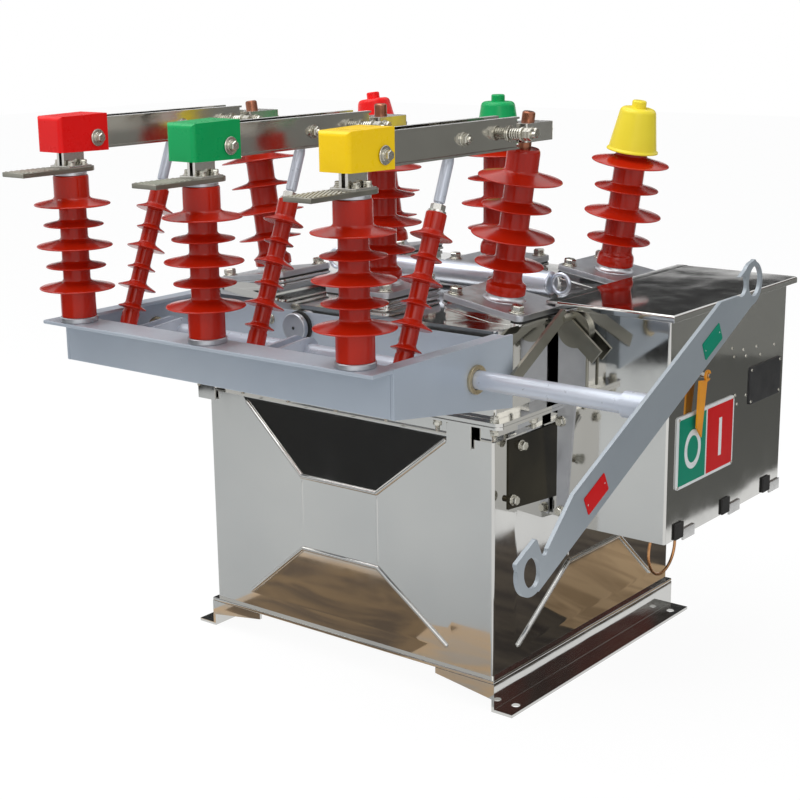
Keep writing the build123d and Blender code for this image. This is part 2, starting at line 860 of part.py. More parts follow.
# Handle: flat bar with a beaked eye at the top and a holed hook at the foot
handle_along = (0, cos(radians(handle_angle)), sin(radians(handle_angle)))
with BuildPart() as handle:
    with BuildSketch(Plane(origin=(handle_face_x, shaft_y, shaft_z), x_dir=handle_along, z_dir=(1, 0, 0))) as flat:
        with Locations(((eye_centre[0] + hook_centre[0]) / 2, 0)):
            Rectangle(eye_centre[0] - hook_centre[0], 2 * handle_half)
        with Locations(eye_centre):
            Circle(eye_radius)
        with Locations(hook_centre):
            Circle(hook_radius)
        with BuildLine():
            Polyline(eye_centre, (eye_centre[0] + eye_radius, 0), eye_tip, (eye_centre[0], handle_half), close=True)
        make_face()
        with Locations((sum(hook_prong) / 2, hook_prong_top / 2)):
            Rectangle(hook_prong[1] - hook_prong[0], hook_prong_top)
        with Locations(beak_centre):
            Circle(beak_radius, mode=Mode.SUBTRACT)
        with BuildLine():
            Polyline(
                (beak_shoulder[0], handle_half),
                (beak_shoulder[0], 2 * handle_half),
                (beak_centre[0], 2 * handle_half),
                beak_centre,
                (beak_shoulder[1], beak_centre[1] - beak_radius / 2),
                close=True,
            )
        make_face(mode=Mode.SUBTRACT)
        with Locations(throat_centre):
            Circle(throat_radius, mode=Mode.SUBTRACT)
        with BuildLine():
            Polyline(
                (throat_shoulder[0], handle_half),
                (throat_shoulder[0], 2 * handle_half),
                (hook_prong[1], 2 * handle_half),
                (hook_prong[1], throat_centre[1]),
                throat_centre,
                (throat_shoulder[1], throat_centre[1] - throat_radius / 2),
                close=True,
            )
        make_face(mode=Mode.SUBTRACT)
        for corner in (eye_tip, (hook_prong[0], hook_prong_top), (hook_prong[1], hook_prong_top)):
            fillet(flat.vertices().sort_by_distance(corner)[0], handle_round)
        with Locations(eye_hole_centre):
            SlotCenterToCenter(*eye_hole_size, rotation=eye_hole_angle, mode=Mode.SUBTRACT)
        with Locations(hook_centre):
            Circle(hook_hole_radius, mode=Mode.SUBTRACT)
    extrude(amount=-handle_wall)
save(handle, "handle")

# Two bare plates on the face of the handle
for plate_colour, plate_place in handle_plates:
    with BuildPart() as handle_plate:
        with BuildSketch(Plane(origin=(handle_face_x, shaft_y, shaft_z), x_dir=handle_along, z_dir=(1, 0, 0))):
            with Locations(plate_place):
                RectangleRounded(*handle_plate_size, handle_plate_round)
        extrude(amount=handle_plate_wall)
    save(handle_plate, f"handle_plate_{plate_colour}")

# Blades: two lipped bars joined by the hinge pin, the rod pin and the cover bolt
blade_bottom = hinge_z - blade_height / 2
blade_top = hinge_z + blade_height / 2
rod_pin_y = hinge_y - crank_reach
for phase, side in phases:
    pole_x = side * phase_pitch
    with BuildPart() as blade:
        for hand in (-1, 1):
            inner = pole_x + hand * blade_gap_half
            outer = inner + hand * blade_wall
            lip = outer + hand * blade_lip
            with BuildSketch(Plane.XZ.offset(-blade_tail)):
                with BuildLine():
                    Polyline(
                        (inner, blade_bottom),
                        (lip, blade_bottom),
                        (lip, blade_bottom + blade_lip_wall),
                        (outer, blade_bottom + blade_lip_wall),
                        (outer, blade_top - blade_lip_wall),
                        (lip, blade_top - blade_lip_wall),
                        (lip, blade_top),
                        (inner, blade_top),
                        close=True,
                    )
                make_face()
            extrude(amount=blade_tail - blade_front)
        for pin_y in (hinge_y, rod_pin_y):
            with BuildSketch(Plane.YZ.offset(pole_x)):
                with Locations((pin_y, hinge_z)):
                    Circle(pin_radius)
            extrude(amount=blade_gap_half + blade_wall, both=True)
        with BuildSketch(Plane.YZ.offset(pole_x)):
            with Locations((cover_bolt_y, cover_bolt_z)):
                Circle(cover_bolt_radius)
        extrude(amount=blade_cover_half, both=True)
    save(blade, f"blade_{phase}")

# Blade covers: moulded hoods, open below and behind
for phase, side in phases:
    pole_x = side * phase_pitch
    cover_mid_z = sum(blade_cover_z) / 2
    cover_tall = blade_cover_z[1] - blade_cover_z[0]
    cover_long = blade_cover_y[1] - blade_cover_y[0]
    with BuildPart() as blade_cover:
        with BuildSketch(Plane(origin=(pole_x, blade_cover_y[1], cover_mid_z), x_dir=(1, 0, 0), z_dir=(0, -1, 0))):
            Rectangle(2 * blade_cover_half, cover_tall)
        with BuildSketch(Plane(origin=(pole_x, blade_cover_y[0], cover_mid_z), x_dir=(1, 0, 0), z_dir=(0, -1, 0))):
            Rectangle(2 * (blade_cover_half - blade_cover_taper), cover_tall - blade_cover_taper)
        loft()
        nose_edges = blade_cover.faces().sort_by(Axis.Y)[0].edges().sort_by(Axis.Z)[1:]
        fillet(nose_edges + blade_cover.edges().filter_by(Axis.Y, tolerance=5).sort_by(Axis.Z)[-2:], blade_cover_round)
        with BuildSketch(Plane.XZ.offset(-blade_cover_y[1])):
            with Locations((pole_x, cover_mid_z - blade_cover_wall)):
                Rectangle(2 * (blade_cover_half - blade_cover_taper - blade_cover_wall), cover_tall)
        extrude(amount=cover_long - blade_cover_wall, mode=Mode.SUBTRACT)
        with BuildSketch(Plane.YZ.offset(pole_x)):
            with Locations((cover_bolt_y, cover_bolt_z)):
                Circle(cover_bolt_radius)
        extrude(amount=2 * blade_cover_half, both=True, mode=Mode.SUBTRACT)
    save(blade_cover, f"blade_cover_{phase}")

# Operating insulators: eye, stud and nut above, shed body, eye below
rod_drop = Vector(0, shaft_y - hinge_y, shaft_z - hinge_z)
rod_length = rod_drop.length
rod_points = [
    (0, rod_stud_start),
    (rod_stud_radius, rod_stud_start),
    (rod_stud_radius, rod_top_silicone - rod_washer_height - rod_nut_height),
    (rod_nut_radius, rod_top_silicone - rod_washer_height - rod_nut_height),
    (rod_nut_radius, rod_top_silicone - rod_washer_height),
    (rod_washer_radius, rod_top_silicone - rod_washer_height),
    (rod_washer_radius, rod_top_silicone),
    (rod_end_radius, rod_top_silicone),
    (rod_end_radius, rod_sheds[0][0] - rod_shed_foot),
]
for height, radius in rod_sheds:
    rod_points += [
        (rod_core, height - shed_slope * (radius - rod_core)),
        (radius, height - shed_rim),
        (radius, height + shed_under - shed_rim),
        (rod_core, height + shed_under),
    ]
rod_points += [
    (rod_tail_radius, rod_bottom_silicone),
    (rod_stud_radius, rod_bottom_silicone),
    (rod_stud_radius, rod_length - rod_stud_start),
    (0, rod_length - rod_stud_start),
]
for phase, side in phases:
    top = Vector(side * phase_pitch, rod_pin_y, hinge_z)
    bottom = top + rod_drop
    with BuildPart() as rod:
        with BuildSketch(profile_plane(top, rod_drop)):
            with BuildLine():
                Polyline(*rod_points, close=True)
            make_face()
        revolve(axis=Axis(top, rod_drop))
        for end in (top, bottom):
            with BuildSketch(Plane.YZ.offset(end.X)):
                with Locations((end.Y, end.Z)):
                    Circle(rod_eye_radius)
                    Circle(pin_radius + pin_clearance, mode=Mode.SUBTRACT)
            extrude(amount=rod_eye_half, both=True)
    save(rod, f"operating_insulator_{phase}")

# Position pointer on the mechanism box
with BuildPart() as pointer:
    with BuildSketch(Plane(origin=(pointer_x[0], pointer_y, pointer_z), x_dir=(0, 1, 0), z_dir=(1, 0, 0))):
        with BuildLine():
            Polyline(*pointer_hand, close=True)
        make_face()
        Circle(pointer_hub)
        Circle(pointer_pin_radius + pointer_clearance, mode=Mode.SUBTRACT)
    extrude(amount=pointer_x[1] - pointer_x[0])
save(pointer, "position_pointer")
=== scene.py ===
import json
import math

import bpy
from mathutils import Matrix, Vector

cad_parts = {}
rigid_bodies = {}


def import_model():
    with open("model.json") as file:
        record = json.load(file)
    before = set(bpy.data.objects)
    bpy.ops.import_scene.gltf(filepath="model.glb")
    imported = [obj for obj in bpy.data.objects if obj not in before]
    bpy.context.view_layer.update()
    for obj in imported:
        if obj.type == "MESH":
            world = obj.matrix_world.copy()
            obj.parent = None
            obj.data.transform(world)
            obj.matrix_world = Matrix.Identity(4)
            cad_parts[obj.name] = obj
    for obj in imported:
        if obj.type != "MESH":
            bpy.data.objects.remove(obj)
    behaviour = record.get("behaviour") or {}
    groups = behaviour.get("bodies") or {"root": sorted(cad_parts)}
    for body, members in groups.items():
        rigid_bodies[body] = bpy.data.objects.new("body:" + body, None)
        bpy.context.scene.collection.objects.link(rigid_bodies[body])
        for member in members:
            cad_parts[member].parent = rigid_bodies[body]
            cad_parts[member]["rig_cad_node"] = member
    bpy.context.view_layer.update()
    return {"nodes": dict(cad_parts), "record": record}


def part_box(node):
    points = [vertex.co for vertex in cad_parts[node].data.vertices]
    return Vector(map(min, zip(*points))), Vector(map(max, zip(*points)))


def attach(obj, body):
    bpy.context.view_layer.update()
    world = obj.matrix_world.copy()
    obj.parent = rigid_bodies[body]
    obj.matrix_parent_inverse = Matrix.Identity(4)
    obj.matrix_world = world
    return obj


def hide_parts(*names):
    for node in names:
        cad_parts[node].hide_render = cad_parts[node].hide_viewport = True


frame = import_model()
nodes = frame["nodes"]
body_of_node = {
    node: body for body, members in frame["record"]["behaviour"]["bodies"].items() for node in members
}
bpy.ops.object.select_all(action="DESELECT")

mm = 0.001
phases = (("red", -1), ("green", 0), ("yellow", 1))
phase_pitch = 280
up = Vector((0, 0, 1))
down = Vector((0, 0, -1))
rightward = Vector((1, 0, 0))
leftward = Vector((-1, 0, 0))
behind = Vector((0, 1, 0))
ahead = Vector((0, -1, 0))


def add_node(tree, kind, group=None, **values):
    # A shader node with these values in the inputs of the same names
    node = tree.nodes.new(f"ShaderNode{kind}")
    if group:
        node.node_tree = group
    for label, value in values.items():
        node.inputs[label.replace("_", " ").title()].default_value = value
    return node


def add_math(tree, operation, *sources):
    node = add_node(tree, "Math")
    node.operation = operation
    for number, source in enumerate(sources):
        tree.links.new(source, node.inputs[number])
    return node


# Stage: camera, floor, background, lamps and reflection cards
def make_camera():
    camera = bpy.data.objects.new("camera", bpy.data.cameras.new("camera"))
    camera.data.lens = 71.286
    camera.data.sensor_width = 36
    camera.data.clip_end = 60
    camera.location = (1.61815, -2.17173, 1.08322)
    camera.rotation_euler = [math.radians(angle) for angle in (75.9240, 0.6925, 38.1473)]
    bpy.context.scene.collection.objects.link(camera)
    bpy.context.scene.camera = camera


def seen_share(tree, share):
    # This share for rays from the camera, a mirror or glass, and nothing for light
    paths = add_node(tree, "LightPath").outputs
    seen = add_math(tree, "MAXIMUM", paths["Is Camera Ray"], paths["Is Glossy Ray"])
    seen = add_math(tree, "MAXIMUM", seen.outputs[0], paths["Is Transmission Ray"])
    part = add_math(tree, "MULTIPLY", seen.outputs[0])
    part.inputs[1].default_value = share
    return part.outputs[0]


def make_background():
    world = bpy.data.worlds.new("background")
    bpy.context.scene.world = world
    world.use_nodes = True
    tree = world.node_tree
    tree.nodes.clear()
    output = add_node(tree, "OutputWorld")
    seen = add_node(tree, "Background", color=(1, 1, 1, 1), strength=1)
    light = add_node(tree, "Background", color=(0.96, 0.98, 1, 1), strength=0.5)
    mix = add_node(tree, "MixShader")
    tree.links.new(seen_share(tree, 1), mix.inputs["Fac"])
    tree.links.new(light.outputs[0], mix.inputs[1])
    tree.links.new(seen.outputs[0], mix.inputs[2])
    tree.links.new(mix.outputs[0], output.inputs["Surface"])


def make_lamp(name, place, target, size, watts, tint):
    lamp = bpy.data.objects.new(name, bpy.data.lights.new(name, "AREA"))
    lamp.data.shape = "RECTANGLE"
    lamp.data.size, lamp.data.size_y = size
    lamp.data.energy = watts
    lamp.data.color = tint
    lamp.location = place
    lamp.rotation_euler = (Vector(target) - Vector(place)).to_track_quat("-Z", "Y").to_euler()
    bpy.context.scene.collection.objects.link(lamp)


def add_veins(tree, shader, shade, vein):
    # Long drifts of a second shade, as on a plank
    coordinates = add_node(tree, "TexCoord")
    stretch = add_node(tree, "Mapping", scale=(3, 11, 1))
    drift = add_node(tree, "TexNoise", scale=1.6, detail=3, distortion=1.2)
    ramp = add_node(tree, "ValToRGB")
    ramp.color_ramp.elements[0].position, ramp.color_ramp.elements[0].color = 0.40, (*shade, 1)
    ramp.color_ramp.elements[1].position, ramp.color_ramp.elements[1].color = 0.62, (*vein, 1)
    tree.links.new(coordinates.outputs["Object"], stretch.inputs["Vector"])
    tree.links.new(stretch.outputs["Vector"], drift.inputs["Vector"])
    tree.links.new(drift.outputs["Fac"], ramp.inputs["Fac"])
    tree.links.new(ramp.outputs["Color"], shader.inputs["Base Color"])


def make_card(name, place, facing, size, shade, vein=None):
    # A matt card beside the set that only the polished steel sees
    bpy.ops.mesh.primitive_plane_add(size=1, location=place)
    card = bpy.context.object
    card.name = name
    card.scale = (size[0], size[1], 1)
    card.rotation_euler = Vector(facing).to_track_quat("Z", "Y").to_euler()
    bpy.ops.object.transform_apply()
    card.visible_camera = False
    card.visible_diffuse = False
    card.visible_shadow = False
    matt = bpy.data.materials.new(name)
    matt.use_nodes = True
    shader = matt.node_tree.nodes["Principled BSDF"]
    shader.inputs["Base Color"].default_value = (*shade, 1)
    shader.inputs["Roughness"].default_value = 0.9
    if vein:
        add_veins(matt.node_tree, shader, shade, vein)
    card.data.materials.append(matt)


floor_white_share = 0.9
floor_white_level = 1.035


def make_floor():
    bpy.ops.mesh.primitive_plane_add(size=24, location=(0, 0, -0.0005))
    floor = bpy.context.object
    floor.name = "floor"
    pale = bpy.data.materials.new("pale_floor")
    pale.use_nodes = True
    tree = pale.node_tree
    shader = tree.nodes["Principled BSDF"]
    shader.inputs["Base Color"].default_value = (0.9, 0.9, 0.9, 1)
    shader.inputs["Roughness"].default_value = 0.8
    white = add_node(tree, "Emission", color=(1, 1, 1, 1), strength=floor_white_level)
    mix = add_node(tree, "MixShader")
    tree.links.new(seen_share(tree, floor_white_share), mix.inputs["Fac"])
    tree.links.new(shader.outputs[0], mix.inputs[1])
    tree.links.new(white.outputs[0], mix.inputs[2])
    tree.links.new(mix.outputs[0], tree.nodes["Material Output"].inputs["Surface"])
    floor.data.materials.append(pale)


make_camera()
make_background()
make_floor()
make_lamp("overhead_lamp", (-0.6, -0.9, 3.2), (0, 0, 0.5), (3.0, 3.0), 74, (1, 1, 1))
make_lamp("front_lamp", (2.6, -2.6, 2.2), (0, -0.2, 0.5), (1.8, 1.8), 20, (1, 0.98, 0.96))

# Name, place, facing, size, shade and second shade of each card that the steel mirrors
facing_front = (-0.6, -0.8, 0)
cards = (
    ("front_card", (-1.2, -1.8, 0.25), (0.62, 0.776, 0), (3.6, 0.5), (0.02, 0.02, 0.02)),
    ("right_card", (2.0, 1.9, 0.45), facing_front, (4.2, 0.9), (0.30, 0.30, 0.28)),
    ("high_card", (2.0, 1.9, 1.2), facing_front, (4.2, 0.58), (0.06, 0.05, 0.045), (0.14, 0.05, 0.04)),
    ("back_card", (-2.17, 2.96, 1.912), (0.55, -0.75, -0.3), (5.0, 1.36), (0.045, 0.045, 0.045)),
    ("front_board", (-0.14, -0.43, 0.0012), up, (0.40, 0.17), (0.33, 0.22, 0.12), (0.17, 0.12, 0.08)),
    ("front_border", (-0.045, -0.41, 0.0009), up, (0.63, 0.24), (0.85, 0.60, 0.37), (0.68, 0.58, 0.48)),
    ("right_board", (1.47, 1.8, 0.001), up, (1.08, 2.6), (0.13, 0.13, 0.12)),
    ("floor_sheet", (-1.4, -1.7, 0.0006), up, (3.6, 2.8), (0.68, 0.70, 0.71)),
    ("near_board", (0.57, 0.3, 0.001), up, (0.42, 1.3), (0.15, 0.12, 0.09), (0.07, 0.055, 0.045)),
    ("near_plank", (0.425, 0.27, 0.0013), up, (0.12, 0.38), (0.90, 0.62, 0.36), (0.60, 0.40, 0.22)),
)
for card in cards:
    make_card(*card)


# Finishes, with colours in steps of 255
def linear(red, green, blue):
    # Screen colour to the light that it stands for
    steps = [value / 255 for value in (red, green, blue)]
    return tuple(value / 12.92 if value <= 0.04045 else ((value + 0.055) / 1.055) ** 2.4 for value in steps)


def new_group(name, inputs, outputs):
    group = bpy.data.node_groups.new(name, "ShaderNodeTree")
    for label, kind, value in inputs:
        socket = group.interface.new_socket(name=label, in_out="INPUT", socket_type=kind)
        socket.default_value = value
    for label in outputs:
        group.interface.new_socket(name=label, in_out="OUTPUT", socket_type="NodeSocketFloat")
    return group, group.nodes.new("NodeGroupInput"), group.nodes.new("NodeGroupOutput")


def group_noise(group, stretch, scale, detail, roughness):
    place = add_node(group, "TexCoord")
    mapping = add_node(group, "Mapping")
    group.links.new(place.outputs["Object"], mapping.inputs["Vector"])
    if stretch is not None:
        group.links.new(stretch, mapping.inputs["Scale"])
    noise = add_node(group, "TexNoise", detail=detail, roughness=roughness)
    group.links.new(mapping.outputs["Vector"], noise.inputs["Vector"])
    group.links.new(scale, noise.inputs["Scale"])
    return noise.outputs["Fac"]


def handling_marks():
    # Broad uneven patches, and the finer smears that hands and rain leave
    group, given, made = new_group(
        "handling_marks",
        (("Patch Scale", "NodeSocketFloat", 6.0), ("Smear Scale", "NodeSocketFloat", 40.0)),
        ("Patches", "Smears"),
    )
    for label, detail, roughness in (("Patch", 3, 0.5), ("Smear", 6, 0.62)):
        fac = group_noise(group, None, given.outputs[f"{label} Scale"], detail, roughness)
        spread = add_node(group, "MapRange", from_min=0.3, from_max=0.7)
        group.links.new(fac, spread.inputs["Value"])
        group.links.new(spread.outputs["Result"], made.inputs["Patches" if label == "Patch" else "Smears"])
    return group


def sheet_waves():
    # The slow swell of thin rolled sheet
    group, given, made = new_group(
        "sheet_waves",
        (("Swell Scale", "NodeSocketFloat", 3.5), ("Ripple Scale", "NodeSocketFloat", 11.0)),
        ("Height",),
    )
    swell = group_noise(group, None, given.outputs["Swell Scale"], 0, 0.5)
    ripple = group_noise(group, None, given.outputs["Ripple Scale"], 1, 0.5)
    small = add_math(group, "MULTIPLY_ADD", ripple)
    small.inputs[1].default_value = 0.12
    group.links.new(swell, small.inputs[2])
    group.links.new(small.outputs[0], made.inputs["Height"])
    return group


def drawn_lines():
    # Fine lines along one direction, as on brushed or drawn metal
    group, given, made = new_group(
        "drawn_lines",
        (("Stretch", "NodeSocketVector", (60, 1, 60)), ("Line Scale", "NodeSocketFloat", 14.0)),
        ("Lines",),
    )
    lines = group_noise(group, given.outputs["Stretch"], given.outputs["Line Scale"], 4, 0.6)
    group.links.new(lines, made.inputs["Lines"])
    return group


marks_group = handling_marks()
waves_group = sheet_waves()
lines_group = drawn_lines()


def make_finish(
    name,
    colours,
    roughness,
    metallic=0.0,
    patch_scale=6.0,
    smear_scale=40.0,
    waves=0.0,
    lines=0.0,
    grain=0.0,
    gleam=0.5,
):
    # Two shades in patches, a gloss that the smears vary, and relief where it is asked for
    finish = bpy.data.materials.new(name)
    finish.use_nodes = True
    tree = finish.node_tree
    shader = tree.nodes["Principled BSDF"]
    shader.inputs["Metallic"].default_value = metallic
    shader.inputs["Specular IOR Level"].default_value = gleam
    marks = add_node(tree, "Group", marks_group, patch_scale=patch_scale, smear_scale=smear_scale)
    mix = add_node(tree, "Mix")
    mix.data_type = "RGBA"
    mix.inputs["A"].default_value = (*linear(*colours[0]), 1)
    mix.inputs["B"].default_value = (*linear(*colours[1]), 1)
    tree.links.new(marks.outputs["Patches"], mix.inputs["Factor"])
    tree.links.new(mix.outputs["Result"], shader.inputs["Base Color"])
    gloss = add_node(tree, "MapRange", to_min=roughness[0], to_max=roughness[1])
    tree.links.new(marks.outputs["Smears"], gloss.inputs["Value"])
    tree.links.new(gloss.outputs["Result"], shader.inputs["Roughness"])
    normal = None
    if waves:
        sheet = add_node(tree, "Group", waves_group)
        normal = add_bump(tree, sheet.outputs["Height"], waves, normal)
    if lines:
        drawn = add_node(tree, "Group", lines_group)
        normal = add_bump(tree, drawn.outputs["Lines"], lines, normal)
    if grain:
        normal = add_bump(tree, marks.outputs["Smears"], grain, normal)
    if normal is not None:
        tree.links.new(normal, shader.inputs["Normal"])
    return finish


def add_bump(tree, height, distance, normal):
    bump = add_node(tree, "Bump", strength=1, distance=distance)
    tree.links.new(height, bump.inputs["Height"])
    if normal is not None:
        tree.links.new(normal, bump.inputs["Normal"])
    return bump.outputs["Normal"]


polished_steel = make_finish(
    "polished_steel", ((205, 204, 200), (192, 192, 190)), (0.035, 0.10),
    metallic=1.0, patch_scale=3.0, smear_scale=22.0, waves=0.0022,
)
bright_steel = make_finish(
    "bright_steel", ((214, 214, 212), (202, 202, 202)), (0.14, 0.22),
    metallic=1.0, patch_scale=8, smear_scale=24,
)
plated_bolts = make_finish(
    "plated_bolts", ((205, 203, 194), (178, 175, 164)), (0.18, 0.34),
    metallic=1.0, patch_scale=40, smear_scale=180,
)
polished_bar = make_finish(
    "polished_bar", ((196, 194, 188), (182, 180, 174)), (0.07, 0.14),
    metallic=1.0, patch_scale=5, smear_scale=30, lines=0.00001,
)
dull_steel = make_finish(
    "dull_steel", ((158, 156, 146), (134, 132, 122)), (0.30, 0.42),
    metallic=1.0, patch_scale=10, smear_scale=50,
)
# Dark olive colour that paints in the dark reflection the side plate shows; it is not a colour of the steel
# itself
dark_reflection_steel = make_finish(
    "dark_reflection_steel", ((58, 54, 42), (30, 28, 24)), (0.10, 0.2), metallic=1.0, patch_scale=7, smear_scale=30
)
satin_tube = make_finish(
    "satin_tube", ((206, 212, 222), (194, 200, 212)), (0.30, 0.38),
    metallic=0.8, patch_scale=6, smear_scale=24,
)
cast_aluminium = make_finish(
    "cast_aluminium", ((196, 198, 202), (176, 178, 184)), (0.30, 0.46),
    metallic=1.0, patch_scale=14, smear_scale=110, grain=0.00004,
)
tinned_metal = make_finish(
    "tinned_metal", ((214, 213, 208), (200, 198, 192)), (0.16, 0.26),
    metallic=1.0, patch_scale=8, smear_scale=24,
)
frame_paint = make_finish(
    "frame_paint", ((182, 191, 201), (172, 182, 194)), (0.30, 0.42),
    metallic=0.2, patch_scale=4, smear_scale=90, grain=0.00001,
)
shaft_paint = make_finish(
    "shaft_paint", ((196, 202, 212), (182, 189, 202)), (0.26, 0.36),
    metallic=0.25, patch_scale=7, smear_scale=90, grain=0.00001,
)
handle_paint = make_finish(
    "handle_paint", ((156, 164, 170), (148, 156, 163)), (0.28, 0.4),
    metallic=0.2, patch_scale=5, smear_scale=60,
)
silicone = make_finish(
    "silicone", ((188, 36, 11), (172, 28, 7)), (0.16, 0.26),
    patch_scale=9, smear_scale=30, gleam=0.3,
)
red_plastic = make_finish(
    "red_plastic", ((238, 16, 16), (230, 12, 13)), (0.24, 0.34), patch_scale=12, gleam=0.25
)
green_plastic = make_finish(
    "green_plastic", ((0, 166, 92), (0, 158, 86)), (0.24, 0.34), patch_scale=12, gleam=0.25
)
yellow_plastic = make_finish(
    "yellow_plastic", ((255, 213, 14), (252, 207, 8)), (0.24, 0.34), patch_scale=12, gleam=0.25
)
pale_yellow_plastic = make_finish(
    "pale_yellow_plastic", ((244, 224, 60), (236, 214, 50)), (0.28, 0.38), patch_scale=12, gleam=0.3
)
copper_rod = make_finish(
    "copper_rod", ((166, 112, 88), (128, 82, 64)), (0.24, 0.38),
    metallic=1.0, patch_scale=40, smear_scale=90,
)
copper_wire = make_finish(
    "copper_wire", ((200, 152, 108), (170, 120, 78)), (0.22, 0.34),
    metallic=1.0, patch_scale=60, smear_scale=90,
)
brass_ring = make_finish(
    "brass_ring", ((204, 190, 160), (180, 164, 132)), (0.22, 0.36),
    metallic=1.0, patch_scale=40, smear_scale=90,
)
white_enamel = make_finish("white_enamel", ((236, 238, 238), (224, 227, 228)), (0.25, 0.36), patch_scale=16)
green_enamel = make_finish(
    "green_enamel", ((0, 140, 110), (0, 132, 104)), (0.3, 0.4), patch_scale=16, gleam=0.12
)
red_enamel = make_finish(
    "red_enamel", ((208, 10, 16), (200, 8, 14)), (0.3, 0.4), patch_scale=16, gleam=0.12
)
pointer_paint = make_finish("pointer_paint", ((238, 158, 14), (226, 142, 8)), (0.3, 0.42), patch_scale=30)
dark_plate = make_finish(
    "dark_plate", ((38, 38, 40), (54, 54, 56)), (0.3, 0.45), metallic=0.4, patch_scale=30
)
black_rubber = make_finish(
    "black_rubber", ((26, 26, 26), (38, 37, 36)), (0.55, 0.75), patch_scale=40, grain=0.0002
)

plastics = {"red": red_plastic, "green": green_plastic, "yellow": yellow_plastic}
cap_plastics = {"red": red_plastic, "green": green_plastic, "yellow": pale_yellow_plastic}


# Ways of working
def only(piece):
    if bpy.context.object is not None and bpy.context.object.mode != "OBJECT":
        bpy.ops.object.mode_set(mode="OBJECT")
    bpy.ops.object.select_all(action="DESELECT")
    piece.select_set(True)
    bpy.context.view_layer.objects.active = piece


def choose(piece, kind, test):
    # Edit mode with only those faces, edges or points selected that pass the test
    only(piece)
    bpy.ops.object.mode_set(mode="EDIT")
    bpy.ops.mesh.select_mode(type=kind)
    bpy.ops.mesh.select_all(action="DESELECT")
    bpy.ops.object.mode_set(mode="OBJECT")
    points = piece.data.vertices
    if kind == "FACE":
        for face in piece.data.polygons:
            face.select = test(face.center, face.normal)
    elif kind == "EDGE":
        for edge in piece.data.edges:
            edge.select = test(points[edge.vertices[0]].co, points[edge.vertices[1]].co)
    else:
        for point in points:
            point.select = test(point.co)
    bpy.ops.object.mode_set(mode="EDIT")


def settle(piece, body, finish, smooth=35):
    # Shading, finish and the body that the piece rides on
    only(piece)
    bpy.ops.object.transform_apply()
    bpy.ops.object.shade_smooth_by_angle(angle=math.radians(smooth))
    even = piece.modifiers.new("even_shading", "WEIGHTED_NORMAL")
    even.keep_sharp = True
    bpy.ops.object.modifier_apply(modifier=even.name)
    piece.data.materials.clear()
    piece.data.materials.append(finish)
    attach(piece, body)
    return piece


def dress(node, name, finish, edge, reshape=None):
    # The node's own shape with its sharp edges eased, after any cut that it still needs
    only(nodes[node])
    bpy.ops.object.duplicate()
    piece = bpy.context.object
    piece.name = name
    del piece["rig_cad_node"]
    piece.parent = None
    if piece.data.has_custom_normals:
        bpy.ops.mesh.customdata_custom_splitnormals_clear()
    bpy.ops.object.mode_set(mode="EDIT")
    bpy.ops.mesh.select_mode(type="EDGE")
    bpy.ops.mesh.select_all(action="SELECT")
    bpy.ops.mesh.remove_doubles(threshold=2e-6)
    bpy.ops.mesh.dissolve_limited(angle_limit=math.radians(0.5))
    if reshape:
        bpy.ops.object.mode_set(mode="OBJECT")
        reshape(piece)
        only(piece)
        bpy.ops.object.mode_set(mode="EDIT")
    bpy.ops.mesh.select_all(action="DESELECT")
    bpy.ops.mesh.edges_select_sharp(sharpness=math.radians(28))
    bpy.ops.mesh.bevel(offset=edge * mm, segments=2, affect="EDGES", clamp_overlap=True)
    bpy.ops.object.mode_set(mode="OBJECT")
    settle(piece, body_of_node[node], finish)
    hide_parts(node)
    return piece


def turn(name, rings, sides=64):
    # A lathe form: each ring is drawn out of the one below it
    radius, height = rings[0]
    bpy.ops.mesh.primitive_circle_add(
        vertices=sides, radius=radius * mm, fill_type="NGON", location=(0, 0, height * mm)
    )
    piece = bpy.context.object
    piece.name = name
    bpy.ops.object.transform_apply()
    bpy.ops.object.mode_set(mode="EDIT")
    bpy.ops.mesh.select_all(action="SELECT")
    for next_radius, next_height in rings[1:]:
        bpy.ops.mesh.extrude_region_move(
            TRANSFORM_OT_translate={"value": (0, 0, (next_height - height) * mm)}
        )
        share = next_radius / radius
        bpy.ops.transform.resize(value=(share, share, 1), center_override=(0, 0, next_height * mm))
        radius, height = next_radius, next_height
    bpy.ops.mesh.select_all(action="SELECT")
    bpy.ops.mesh.normals_make_consistent(inside=False)
    bpy.ops.object.mode_set(mode="OBJECT")
    return piece


def block(name, low, high, edge, steps=2):
    # A bar or sheet between two corners, all its edges eased
    centre = [(a + b) / 2 * mm for a, b in zip(low, high)]
    size = [(b - a) * mm for a, b in zip(low, high)]
    bpy.ops.mesh.primitive_cube_add(size=1, location=centre, scale=size)
    piece = bpy.context.object
    piece.name = name
    bpy.ops.object.transform_apply()
    bpy.ops.object.mode_set(mode="EDIT")
    bpy.ops.mesh.select_all(action="SELECT")
    bpy.ops.mesh.bevel(offset=edge * mm, segments=steps, affect="EDGES")
    bpy.ops.object.mode_set(mode="OBJECT")
    return piece


def ring(name, radius, wire, sides, round_sides):
    # A round wire ring with its inner half pressed slightly flat
    bpy.ops.mesh.primitive_torus_add(
        major_segments=sides, minor_segments=round_sides, major_radius=radius * mm, minor_radius=wire * mm
    )
    piece = bpy.context.object
    piece.name = name
    choose(piece, "VERT", lambda co: math.hypot(co.x, co.y) < (radius - 0.7 * wire) * mm)
    bpy.ops.transform.resize(value=(1, 1, 0.9))
    bpy.ops.object.mode_set(mode="OBJECT")
    return piece


def seat_at(place, axis, about=0):
    # Stands a pattern at a place, its height along the axis, turned about it by some degrees
    turned = Vector(axis).to_track_quat("Z", "Y").to_matrix().to_4x4()
    return Matrix.Translation(Vector(place) * mm) @ turned @ Matrix.Rotation(math.radians(about), 4, "Z")


